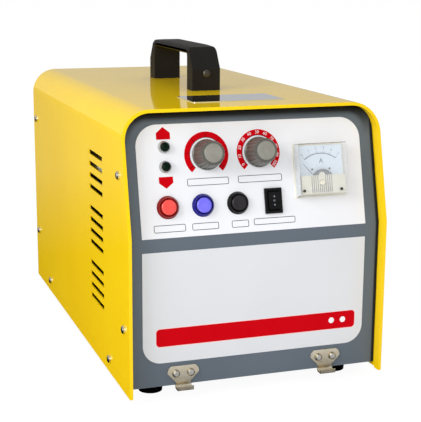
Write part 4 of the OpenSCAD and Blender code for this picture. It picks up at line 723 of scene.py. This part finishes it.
# a dark band along each ring's inner edge, in the dark ink: a painted shadow
edges = [ringBand(x, ring["inner"] + ring["edgeOut"], ring["inner"] - ring["edgeIn"], ring["edgeHigh"])
         for x in label["knobX"]]
addPiece("knobRingEdges", edges, onSlope, "white_label", "printDark")

tick = dict(count=7, reach=126, half=0.22, fromInner=0.4, fromOuter=0.9, low=0.42, high=0.47)
tickBar = bar(tick["half"], ring["inner"] + tick["fromInner"], ring["outer"] - tick["fromOuter"],
              tick["low"], tick["high"])
ticks = [shifted(turned(tickBar, radians(angle)), label["knobX"][0], label["knobS"])
         for angle in np.linspace(-tick["reach"], tick["reach"], tick["count"])]
addPiece("servoTicks", ticks, onSlope, "white_label", "tickRed")

figure = dict(count=11, reach=124, size=3.5, step=10, outBy=0.15, up=0.43)
numbers = []
middle = (ring["outer"] + ring["inner"]) / 2 + figure["outBy"]
for i, angle in enumerate(np.linspace(-figure["reach"], figure["reach"], figure["count"])):
    number = shifted(glyphs(str(i * figure["step"]), figure["size"]), 0, middle, figure["up"])
    numbers.append(shifted(turned(number, radians(angle)), label["knobX"][1], label["knobS"]))
addPiece("currentNumbers", numbers, onSlope, "white_label", "printWhite")

# The arrows beside the lamps, each by the height of its tip and foot and its width
arrows = dict(up=(89.4, 79.3, 11.7), down=(39.8, 49.3, 11.9), shoulder=0.52)
houses = []
for tip, foot, width in (arrows["up"], arrows["down"]):
    shoulder = foot + (tip - foot) * arrows["shoulder"]
    outline = np.array([(-width / 2, foot), (width / 2, foot), (width / 2, shoulder), (0, tip),
                        (-width / 2, shoulder)])
    house = plate(outline if tip > foot else outline[::-1], label["low"], label["high"])
    houses.append(shifted(house, lamp["x"], 0))
addPiece("travelArrows", houses, onSlope, "white_label", "printRed")

# The empty frames of the captions, each by its left, bottom, right and top
frames = dict(line=0.5, corner=1.3, boxes=[
    (-57.4, 40.7, -21.8, 46.7), (-13.7, 40.9, 24.9, 46.8), (-87.9, 4.8, -61.2, 10.8),
    (-55.7, 4.9, -33.0, 10.6), (-21.8, 4.8, -6.9, 10.6), (-2.5, 5.6, 34.3, 11.0)])
outlines = []
for x0, s0, x1, s1 in frames["boxes"]:
    t = frames["line"]
    outer = roundedBox(x0, s0, x1, s1, frames["corner"])
    inner = roundedBox(x0 + t, s0 + t, x1 - t, s1 - t, frames["corner"] - t)
    outlines.append(band(outer, inner, label["low"], label["high"]))
addPiece("captionFrames", outlines, onSlope, "white_label", "printDark")

# The rocker's marks: two triangles and a square on its two faces
marks = dict(size=1.5, apart=3.7, square=0.65, line=0.26, corner=0.15, innerCorner=0.05, low=-0.1, high=0.05,
             faceUp=3.6, faceRise=tan(radians(8)))


def onKey(p):
    # the rocker's two faces rise away from its middle, and the marks lie on them
    x, s, h = np.moveaxis(np.asarray(p, float), -1, 0)
    up = marks["faceUp"] + np.abs(s) * marks["faceRise"] + h
    return slopeAt(x + label["rockerX"], s + buttons["s"], up)


half = marks["size"] / 2
triangle = np.array([(-half, -half), (half, -half), (0, half)])
q, t = marks["square"], marks["square"] - marks["line"]
drawn = [shifted(plate(triangle, marks["low"], marks["high"]), 0, marks["apart"]),
         shifted(plate(-triangle, marks["low"], marks["high"]), 0, -marks["apart"]),
         band(roundedBox(-q, -q, q, q, marks["corner"], steps=3),
              roundedBox(-t, -t, t, t, marks["innerCorner"], steps=3), marks["low"], marks["high"])]
addPiece("rockerMarks", drawn, onKey, "switch_key", "printPale", "manual_rocker")
print("label printing: rings, numbers, arrows, frames and marks")

# Printing on the lower label: a red stripe, by its left, bottom, right and top, a pale edge and two dots
lower = dict(stripe=(-87.0, 46.1, 91.0, 61.2), corner=3.2, edge=0.55, dots=((69.1, 53.9), (79.7, 53.8)),
             dot=2.5, edgeHigh=0.43, dotLow=0.42, dotHigh=0.49)
x0, z0, x1, z1 = lower["stripe"]
edge = lower["edge"]
stripe = roundedBox(x0, z0, x1, z1, lower["corner"], steps=9)
wider = roundedBox(x0 - edge, z0 - edge, x1 + edge, z1 + edge, lower["corner"] + edge, steps=9)
addPiece("lowerStripe", [plate(stripe, label["low"], label["high"])], onFront, "pale_label", "printRed")
addPiece("stripeEdge", [band(wider, stripe, label["low"], lower["edgeHigh"])], onFront, "pale_label",
         "printRose")
dotLine = [(0, lower["dotLow"]), (lower["dot"], lower["dotLow"]), (lower["dot"], lower["dotHigh"]),
           (0, lower["dotHigh"])]
dots = [shifted(spun(dotLine, steps=40), x, z) for x, z in lower["dots"]]
addPiece("stripeDots", dots, onFront, "pale_label", "printWhite")
print("lower label: stripe and dots")

# The knobs' spun discs, whose face has rings: height = high - sunk + groove * cos(2 pi rings r / radius)
disc = dict(radius=7.7, low=18.2, high=18.86, rings=9, groove=0.03, sunk=0.05, edge=0.25, bevel=0.1,
            chamfer=0.2, samples=120, steps=96)
r = np.linspace(0, disc["radius"] - disc["edge"], disc["samples"])
face = disc["high"] - disc["sunk"] + disc["groove"] * np.cos(r / disc["radius"] * disc["rings"] * 2 * pi)
rim = [(disc["radius"] - disc["bevel"], disc["high"] - disc["sunk"] - disc["groove"]),
       (disc["radius"], disc["high"] - disc["chamfer"]), (disc["radius"], disc["low"]), (0, disc["low"])]
discPart = spun(np.concatenate([np.c_[r, face], rim]), steps=disc["steps"])
for x, name, body in zip(label["knobX"], ("servoKnobDisc", "currentKnobDisc"),
                         ("servo_knob", "current_knob")):
    addPiece(name, [shifted(discPart, x, label["knobS"])], onSlope, "knob_plastic", "knobDisc", body,
             sharp=60)
print("knob discs")

# The meter's dial: arc, marks, numbers and screws, with places from the middle of its arc. The screws'
# dome is a line of (share of the radius, height)
dial = dict(pivotDown=9.8, radius=23.4, arcOut=0.15, arcIn=0.4, sweep=36.5, steps=61, low=5.39, high=5.44,
            majors=6, minors=5, markIn=0.2, major=(0.16, 2.0), minor=(0.1, 1.1), numberRadius=27.7,
            numberSize=3.6, thick=0.02, unitSize=5.6, unitPlace=(0.6, 17.0), screwX=7.9, screwS=0.4,
            screwUp=5.4, screwR=0.95, dome=((0, 0.45), (0.6, 0.4), (0.92, 0.25), (1, 0), (0, 0)))


def onDial(p):
    pivot = np.array([meter["newX"], meter["newS"] - dial["pivotDown"], unit["film"]])
    return onSlope(np.asarray(p) + pivot)


reach = dial["sweep"]
outer = arc(dial["radius"] + dial["arcOut"], -reach, reach, dial["steps"])
inner = arc(dial["radius"] - dial["arcIn"], -reach, reach, dial["steps"])
scale = [band(outer, inner, dial["low"], dial["high"], closed=False)]
count = (dial["majors"] - 1) * dial["minors"]
for i in range(count + 1):
    half, length = dial["minor"] if i % dial["minors"] else dial["major"]
    mark = bar(half, dial["radius"] - dial["markIn"], dial["radius"] + length, dial["low"], dial["high"])
    scale.append(turned(mark, radians(-reach + 2 * reach * i / count)))
addPiece("dialScale", scale, onDial, "dial_white", "printDark")
figures = []
for i in range(dial["majors"]):
    number = shifted(glyphs(str(i), dial["numberSize"], dial["thick"]), 0, dial["numberRadius"], dial["high"])
    figures.append(turned(number, radians(-reach + 2 * reach * i / (dial["majors"] - 1))))
addPiece("dialNumbers", figures, onDial, "dial_white", "printPale")
letter = shifted(glyphs("A", dial["unitSize"], dial["thick"]), *dial["unitPlace"], dial["high"])
addPiece("dialUnit", [letter], onDial, "dial_white", "printDark")
dialHead = spun([(share * dial["screwR"], height) for share, height in dial["dome"]], steps=32)
heads = [shifted(dialHead, x, dial["pivotDown"] + dial["screwS"], dial["screwUp"])
         for x in (-dial["screwX"], dial["screwX"])]
addPiece("dialScrews", heads, onDial, "black_screw")

# The mask's ribs, drawn as dark strips of painted groove shade, which stop short of its boss in the middle
ribs = dict(count=11, pitch=1.78, width=0.55, corner=0.2, top=9.41, high=9.46, low=-9.3, upper=4.7,
            clear=2.9, across=-1.6, sunk=0.05)
lines = []
for i in range(ribs["count"]):
    x = (i - (ribs["count"] - 1) / 2) * ribs["pitch"]
    upper = ribs["upper"] if abs(x) > ribs["clear"] else -ribs["clear"]
    outline = roundedBox(-ribs["width"] / 2, ribs["low"], ribs["width"] / 2, upper, ribs["corner"], steps=4)
    lines.append(shifted(plate(outline, ribs["top"] - ribs["sunk"], ribs["high"]), x + ribs["across"], 0))
addPiece("maskRibs", lines, onDial, "meter_ivory", "ribShade")

# The movement's shield, and the mask's rounded boss over it, where the photograph has them
shield = dict(radius=10.1, reach=59.5, steps=33, low=7.5, high=8.3)
outline = arc(shield["radius"], -shield["reach"], shield["reach"], shield["steps"])
addPiece("movementShield", [plate(outline, shield["low"], shield["high"])], onDial, "movement_metal")
boss = dict(radius=2.7, up=4.9, low=8.35, high=9.4, across=-0.9)
outline = np.r_[[(-boss["radius"], boss["up"])],
                arc(boss["radius"], -90, 90, steps=21) + [0, boss["up"]], [(boss["radius"], boss["up"])]]
addPiece("maskBoss", [shifted(plate(outline, boss["low"], boss["high"]), boss["across"], 0)], onDial,
         "meter_ivory")

# The clear cover's top edge and left wall: a grey line of painted shade and a pale band of painted light
topEdge = dict(half=21.48, low=31.13, high=31.58, foot=10.9, top=11.03)
edgeBar = bar(topEdge["half"], topEdge["low"], topEdge["high"], topEdge["foot"], topEdge["top"])
addPiece("coverTopEdge", [edgeBar], onDial, "meter_clear", "edgeGrey")
leftWall = dict(low=26.6, high=69.4, foot=3.3, top=11.0, narrowLow=27.2, narrowHigh=68.9, thick=0.04,
                slope=8.5)


def onLeftWall(p):
    # the clear cover's left wall: first value runs up the wall, second out of the panel
    s, h, out = np.moveaxis(np.asarray(p, float), -1, 0)
    x = meter["newX"] - meter["newHalf"] - out + (h - meter["foot"]) / leftWall["slope"]
    return slopeAt(x, s, h)


outline = [(leftWall["low"], leftWall["foot"]), (leftWall["high"], leftWall["foot"]),
           (leftWall["narrowHigh"], leftWall["top"]), (leftWall["narrowLow"], leftWall["top"])]
addPiece("coverLeftWall", [plate(outline, 0.0, leftWall["thick"])], onLeftWall, "meter_clear", "wallTint")
print("meter dial")

# Screw heads: a low dome with a cross recess, over each of the solid heads
screws = dict(
    sides=[(-183.5, 62.516), (-171.394, 187.025), (183.5, 62.516), (183.5, 187.025), (-133.6, 20.5),
           (124.0, 20.5)],
    keepers=[(-70.4, 22.2), (-57.6, 22.2), (57.6, 22.2), (70.4, 22.2)],
    sideHead=(3.5, 2.2), keeperHead=(3.2, 1.8), keeperPlate=1.2, handleY=(-56.7, 80.7), handleZ=254.5)
cross = dict(lift=0.03, fall=0.42, power=2.6, armHalf=0.14, armReach=0.56, depth=0.45,
             armFade=(1.5, 1.6, 0.3), rings=15, steps=72)


def crossHead(radius, height):
    # height over the polar grid: a dome that falls to the rim, less a cross whose arms fade at their ends
    r = np.linspace(0, 1, cross["rings"])[:, None]
    turn = np.linspace(0, 2 * pi, cross["steps"], endpoint=False)[None, :]
    x, y = r * np.cos(turn), r * np.sin(turn)
    dome = height * (1 - cross["fall"] * r ** cross["power"]) + cross["lift"]
    upright = (np.abs(x) < cross["armHalf"]) * (np.abs(y) < cross["armReach"])
    level = (np.abs(y) < cross["armHalf"]) * (np.abs(x) < cross["armReach"])
    start, slope, least = cross["armFade"]
    depth = np.maximum(upright, level) * cross["depth"] * height * np.clip(start - slope * r, least, 1)
    top = np.stack([x * radius, y * radius, dome - depth], -1)
    zero = np.zeros(cross["steps"])
    skirt = np.stack([x[-1] * (radius + cross["lift"]), y[-1] * (radius + cross["lift"]), zero], -1)
    points = np.concatenate([top, skirt[None], np.zeros((1, cross["steps"], 3))])
    return points.reshape(-1, 3), gridFaces(len(points), cross["steps"], False, True)


caseHead = crossHead(*screws["sideHead"])
for side, name in ((-1, "leftCaseScrewHeads"), (1, "rightCaseScrewHeads")):
    addPiece(name, [shifted(caseHead, y, z) for y, z in screws["sides"]],
             lambda p, side=side: onSide(p, side), "screw_steel", sharp=40)
keeperHead = crossHead(*screws["keeperHead"])
keeperHeads = [shifted(keeperHead, x, z, screws["keeperPlate"]) for x, z in screws["keepers"]]
addPiece("keeperScrewHeads", keeperHeads, onFront, "screw_steel", "keeperScrew", sharp=40)


def onHandleEnd(p, end):
    # the handle's end faces: out points away from its middle
    x, z, h = np.moveaxis(np.asarray(p, float), -1, 0)
    return np.stack([x, screws["handleY"][end] + (h if end else -h), z], -1) * mm


for end, name in ((0, "frontHandleScrewHead"), (1, "rearHandleScrewHead")):
    addPiece(name, [shifted(caseHead, 0, screws["handleZ"])], lambda p, end=end: onHandleEnd(p, end),
             "screw_steel", "blackScrew", sharp=40)
print("screw heads")

# The surround is white to the camera, and dimmer to light and to what metal and paint mirror
surround = dict(light=0.6, mirrored=0.5, through=1.0, seen=1.04)
world = bpy.data.worlds.new("studio")
bpy.context.scene.world = world
world.use_nodes = True
sky = world.node_tree
sky.nodes.clear()
rays = added(sky, "LightPath", {})


def glowOf(strength):
    return added(sky, "Background", {"Color": (1, 1, 1, 1), "Strength": strength})[0]


last = glowOf(surround["light"])
for ray, key in (("Glossy", "mirrored"), ("Transmission", "through"), ("Camera", "seen")):
    last = added(sky, "MixShader", {"Fac": rays["Is " + ray + " Ray"], 1: last, 2: glowOf(surround[key])})[0]
sky.links.new(last, sky.nodes.new("ShaderNodeOutputWorld").inputs["Surface"])

# The floor: pale and lit, with a glow to the camera that keeps it white; the paint mirrors it bright
# only in front of the unit. Each row of mirror holds a start and end in y, and the glow at both
ground = dict(reach=14.0, pale=0.86, rough=0.9, glow=1.05, glowShare=0.9,
              mirror=((-0.27, -0.21, 0.9, 0.02), (0.3, 0.9, 0, 0.22)))
far = ground["reach"]
floorMesh = bpy.data.meshes.new("floor")
floorMesh.from_pydata([(-far, -far, 0), (far, -far, 0), (far, far, 0), (-far, far, 0)], [], [(0, 1, 2, 3)])
floor = newObject("floor", floorMesh)
floorPaint = bpy.data.materials.new("floorPaint")
floorPaint.use_nodes = True
tree = floorPaint.node_tree
shader = tree.nodes["Principled BSDF"]
pale = ground["pale"]
for key, value in (("Base Color", (pale, pale, pale, 1)), ("Roughness", ground["rough"]),
                   ("Specular IOR Level", 0)):
    shader.inputs[key].default_value = value
rays = added(tree, "LightPath", {})
glow = added(tree, "Emission", {"Strength": ground["glow"]})[0]
toCamera = ranged(tree, rays["Is Camera Ray"], 0, ground["glowShare"], 0, 1)
mixed = added(tree, "MixShader", {"Fac": toCamera, 1: shader.outputs[0], 2: glow})[0]
axes = added(tree, "SeparateXYZ", {0: added(tree, "TexCoord", {})["Object"]})
front, rear = (ranged(tree, axes[1], low, high, start, end) for start, end, low, high in ground["mirror"])
dusk = added(tree, "Emission", {"Strength": worked(tree, "ADD", front, rear)})[0]
mirrored = added(tree, "MixShader", {"Fac": rays["Is Glossy Ray"], 1: mixed, 2: dusk})[0]
tree.links.new(mirrored, tree.nodes["Material Output"].inputs["Surface"])
floorMesh.materials.append(floorPaint)

# The lights are square softboxes
softboxes = {
    "keySoftbox": dict(place=(-1.5, -0.75, 0.85), aim=(0, -0.1, 0.08), size=0.8, power=16.2, mirrored=True),
    "frontSoftbox": dict(place=(-0.5, -1.4, 0.75), aim=(0, -0.1, 0.12), size=0.8, power=5.0, mirrored=True),
    "topSoftbox": dict(place=(0.2, 0.5, 2.2), aim=(0, 0, 0.15), size=1.6, power=6.5, mirrored=True),
    "rearSoftbox": dict(place=(1.4, 1.8, 1.3), aim=(0, 0, 0.12), size=1.6, power=6, mirrored=False),
}
for name, box in softboxes.items():
    data = bpy.data.lights.new(name, "AREA")
    data.shape, data.size, data.energy = "SQUARE", box["size"], box["power"]
    holder = newObject(name, data)
    holder.location = box["place"]
    holder.rotation_euler = (Vector(box["aim"]) - Vector(box["place"])).to_track_quat("-Z", "Y").to_euler()
    holder.visible_glossy = box["mirrored"]

# The camera: where it stands, the way it looks, and the frame's shift
shot = dict(place=(-0.3275069, -1.0109658, 0.3474157), yaw=18.8546, pitch=12.6527, roll=0.2842, lens=94.48,
            shift=(0.01572, 0.01439), nearest=0.01)
yaw, pitch, roll = (radians(shot[key]) for key in ("yaw", "pitch", "roll"))
forward = Vector((sin(yaw) * cos(pitch), cos(yaw) * cos(pitch), -sin(pitch)))
level = forward.cross(Vector((0, 0, 1))).normalized()
upright = level.cross(forward)
right = level * cos(roll) + upright * sin(roll)
top = upright * cos(roll) - level * sin(roll)
camera = newObject("camera", bpy.data.cameras.new("camera"))
camera.matrix_world = Matrix((
    (right.x, top.x, -forward.x, shot["place"][0]), (right.y, top.y, -forward.y, shot["place"][1]),
    (right.z, top.z, -forward.z, shot["place"][2]), (0, 0, 0, 1)))
camera.data.lens = shot["lens"]
camera.data.shift_x, camera.data.shift_y = shot["shift"]
camera.data.clip_start = shot["nearest"]
bpy.context.scene.camera = camera
bpy.context.scene.view_settings.view_transform = "Standard"
print("stage, lamps and camera")
